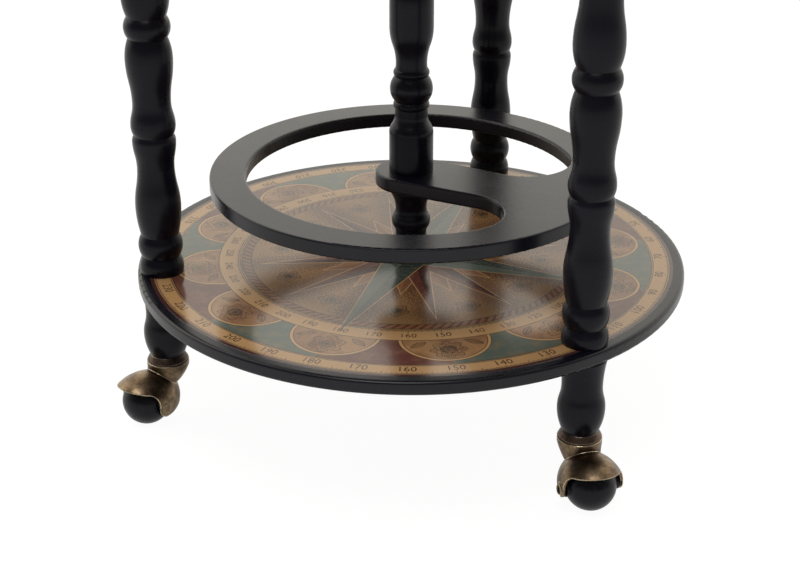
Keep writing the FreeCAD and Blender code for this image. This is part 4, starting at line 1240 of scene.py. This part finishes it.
def nightLining(half, centre, radius):  # the shells' inner side: a dark sky with gold stars
    finish, tree, skin = newFinish(f"globe_lining_{half}")
    unit = unitPoint(tree, centre, radius)
    clouds = softNoise(tree, unit, lining["clouds"])
    colour = mixed(tree, clouds, *lining["night"])
    lines = gridLines(tree, *mapDegrees(tree, unit), lining["grid"], lining["gridHalf"])
    gilt = times(tree, lines, softNoise(tree, unit, lining["wear"], *lining["wearShares"]))
    for scale, size in lining["stars"]:
        away = addNode(tree, "TexVoronoi", {"Vector": unit, "Scale": scale}).outputs["Distance"]
        spots = ramped(tree, away, size * lining["starCore"], size, 1.0, 0.0)
        gilt = calc(tree, "MAXIMUM", gilt, spots)
    colour = mixed(tree, gilt, colour, lining["gold"])
    way, low, high = lining["rims"][half]
    rim = ramped(tree, toward(tree, unit, (0.0, 0.0, way)), low, high, 1.0, 0.0)
    wire(tree, skin["Base Color"], mixed(tree, rim, colour, lining["edge"]))
    wire(tree, skin["Metallic"], times(tree, gilt, lining["gilding"]))
    wire(tree, skin["Roughness"], ramped(tree, clouds, 0.0, 1.0, *lining["roughness"]))
    return finish


# Plain numbers on the two printed scales

numerals = {  # angles in degrees
    "depth": 0.02 * mm,
    "curveSteps": 3,
    "step": 10,
    "zeroAngle": 90,
    "shelfRows": ((205.0 * mm, 10.0 * mm), (151.0 * mm, 9.0 * mm)),   # radius and height
    "horizonRows": ((206.6 * mm, 9.5 * mm),),
    "legAngles": (90, 210, 330),
    "hingeAngles": (90,),
    "clear": 8,                  # kept free beside a leg or the hinge
}


def makeGlyph(angle, radius, level, size):
    turn = math.radians(angle)
    deselectAll()
    bpy.ops.object.text_add(
        location=(radius * math.cos(turn), radius * math.sin(turn), level + numerals["depth"]),
        rotation=(0, 0, turn + math.pi / 2),   # the feet point to the rim
    )
    glyph = bpy.context.object
    glyph.data.body = str((numerals["zeroAngle"] - angle) % 360)
    glyph.data.size = size
    glyph.data.extrude = numerals["depth"]
    glyph.data.resolution_u = numerals["curveSteps"]
    glyph.data.align_x = "CENTER"
    glyph.data.align_y = "CENTER"
    bpy.ops.object.convert(target="MESH")
    return bpy.context.object


def makeNumerals(printName, rows, covered, name):
    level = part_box(printName)[1].z
    glyphs = []
    for row, (radius, size) in enumerate(rows):
        for angle in range(0, 360, numerals["step"]):
            beside = min(abs(wrapped(angle - at)) for at in covered)
            if row == 0 and beside < numerals["clear"]:
                continue
            glyphs.append(makeGlyph(angle, radius, level, size))
    addPiece(joinPieces(glyphs, name), inkFinish, "stand")


# Slotted screws in the hinge's two leaves, and the eyelet in the hollow end of each axle

headLook = {
    "sides": 40,
    "roundSteps": 3,
    "smoothAngle": 35.0,
    "upward": 0.99,              # least rise of the normal of the top face
}

screw = {
    "radius": 3.2 * mm,
    "height": 1.1 * mm,
    "sunk": 0.2 * mm,
    "round": 0.4 * mm,
    "slotWidth": 0.8 * mm,
    "slotDepth": 0.5 * mm,
    "across": 14.0 * mm,         # from the hinge's middle
    "leafThickness": 2.0 * mm,
    "leafRows": (187.0 * mm, 201.0 * mm),
    "strapRows": (16.0 * mm, 30.0 * mm),
    "strapOuter": 2.1 * mm,      # the strap's outer face, from the globe
    "slotTurns": (20, 75, 130, -15),
}

eyelet = {
    "radius": 4.0 * mm,
    "height": 0.9 * mm,
    "sunk": 0.6 * mm,
    "round": 0.25 * mm,
    "bore": 2.6 * mm,
    "boreDepth": 0.25 * mm,
}


def roundHead(size):
    deselectAll()
    bpy.ops.mesh.primitive_cylinder_add(
        vertices=headLook["sides"], radius=size["radius"], depth=size["height"],
    )
    head = bpy.context.object
    bpy.ops.object.mode_set(mode="EDIT")
    bpy.ops.mesh.select_all(action="DESELECT")
    bpy.ops.object.mode_set(mode="OBJECT")
    for edge in head.data.edges:
        edge.select = all(head.data.vertices[index].co.z > 0 for index in edge.vertices)
    bpy.ops.object.mode_set(mode="EDIT")
    bpy.ops.mesh.bevel(offset=size["round"], segments=headLook["roundSteps"])
    bpy.ops.object.mode_set(mode="OBJECT")
    return head


def cutSlot(head):
    deselectAll()
    bpy.ops.mesh.primitive_cube_add(size=1.0, location=(0, 0, screw["height"] / 2))
    cutter = bpy.context.object
    cutter.scale = (screw["slotWidth"], screw["radius"] * 3, screw["slotDepth"] * 2)
    slot = head.modifiers.new("slot", "BOOLEAN")
    slot.operation = "DIFFERENCE"
    slot.object = cutter
    makeActive(head)
    bpy.ops.object.modifier_apply(modifier=slot.name)
    bpy.data.objects.remove(cutter)


def cutBore(head):
    for face in head.data.polygons:
        face.select = face.normal.z > headLook["upward"]
    bpy.ops.object.mode_set(mode="EDIT")
    bpy.ops.mesh.inset(thickness=eyelet["radius"] - eyelet["round"] - eyelet["bore"])
    bpy.ops.mesh.extrude_region_move(TRANSFORM_OT_translate={"value": (0, 0, -eyelet["boreDepth"])})
    bpy.ops.object.mode_set(mode="OBJECT")


def seat(head, size, place, facing, turn=0.0):
    makeActive(head)
    bpy.ops.object.shade_smooth_by_angle(angle=math.radians(headLook["smoothAngle"]))
    aim = facing.to_track_quat("Z", "Y").to_matrix().to_4x4()
    spin = Matrix.Rotation(math.radians(turn), 4, "Z")
    lift = facing * (size["height"] / 2 - size["sunk"])
    head.matrix_world = Matrix.Translation(place + lift) @ aim @ spin


def makeScrews(name, pattern, seats, body):
    heads = [copyOf(pattern) for place in seats]
    for head, (place, facing), turn in zip(heads, seats, screw["slotTurns"]):
        seat(head, screw, place, facing, turn)
    addPiece(joinPieces(heads, name), brassFinish, body)


def makeHingeScrews(centre, radius):
    pattern = roundHead(screw)
    cutSlot(pattern)
    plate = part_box("horizon_print")[1].z + screw["leafThickness"]
    outer = radius + screw["strapOuter"]
    leafSeats = []
    strapSeats = []
    for x in (-screw["across"], screw["across"]):
        for y in screw["leafRows"]:
            leafSeats.append((Vector((x, y, plate)), Vector((0, 0, 1))))
        for rise in screw["strapRows"]:
            out = Vector((x, math.sqrt(outer ** 2 - x ** 2 - rise ** 2), rise))
            strapSeats.append((Vector((0, 0, centre)) + out, out.normalized()))
    makeScrews("hinge_leaf_screws", pattern, leafSeats, "stand")
    makeScrews("hinge_strap_screws", pattern, strapSeats, "lid")
    bpy.data.objects.remove(pattern)


def makeEyelet(side, pattern, finish):
    middle, axis = jointPlace(f"ball_roll_{side}")
    reach = max((vertex.co - middle).dot(axis) for vertex in nodes[f"caster_axle_{side}"].data.vertices)
    ring = copyOf(pattern)
    ring.name = f"caster_eyelet_{side}"
    seat(ring, eyelet, middle - axis * reach, -axis)
    applyPlace(ring)
    addPiece(ring, finish, f"swivel_{side}")


buildFloor()
buildBackdrop()
buildLamps()
buildCamera()
lacquerSkin = lacquerSkinGroup()
agedPaper = agedPaperGroup()
starPoints = starGroup()
dress(
    blackLacquer("turned"), "lower_spindle", "upper_spindle", "bowl_cradle",
    *[f"{name}_{side}" for name in ("leg", "foot") for side in sides],
)
for disc in lacquer["rims"]:
    dress(blackLacquer("flat", disc), disc)
dress(shelfPaper(), "shelf_print")
dress(horizonPaper(), "horizon_print")
brassFinish = antiqueBrass("antique_brass")
dress(brassFinish, "pole_cap", "hinge_fixed_leaf", "hinge_lid_leaf", "hinge_pin")
dress(antiqueBrass("collar_bronze"), *[f"caster_cup_{side}" for side in sides])
ringPattern = roundHead(eyelet)
cutBore(ringPattern)
for side in sides:
    hoodFinish = antiqueBrass("antique_brass", side)
    dress(hoodFinish, f"caster_hood_{side}", f"caster_axle_{side}")
    makeEyelet(side, ringPattern, hoodFinish)
    dress(ballRubber(side), f"caster_ball_{side}")
bpy.data.objects.remove(ringPattern)
dress(trayWood(), "tray_board", "tray_deck", "tray_pillars", "lid_hoop", "ring_dowels")
dress(zincSteel(), "leg_studs", "post_bolt", "bowl_bolt", *[f"caster_stem_{side}" for side in sides])
inkFinish = numeralInk()
print("finishes built")

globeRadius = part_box("lid_shell")[1].x
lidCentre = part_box("lid_shell")[0].z
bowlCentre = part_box("bowl_shell")[0].z + globeRadius
dress(nightLining("lid", lidCentre, globeRadius), "lid_shell")
dress(nightLining("bowl", bowlCentre, globeRadius), "bowl_shell")
makeGlobeSkin("lid", lidCentre, globeRadius, "lid")
makeGlobeSkin("bowl", bowlCentre, globeRadius, "stand")
print("globe map built")

makeNumerals("shelf_print", numerals["shelfRows"], numerals["legAngles"], "shelf_numerals")
makeNumerals(
    "horizon_print", numerals["horizonRows"], numerals["hingeAngles"], "horizon_numerals",
)
makeHingeScrews(lidCentre, globeRadius)
print("numbers and screws built")
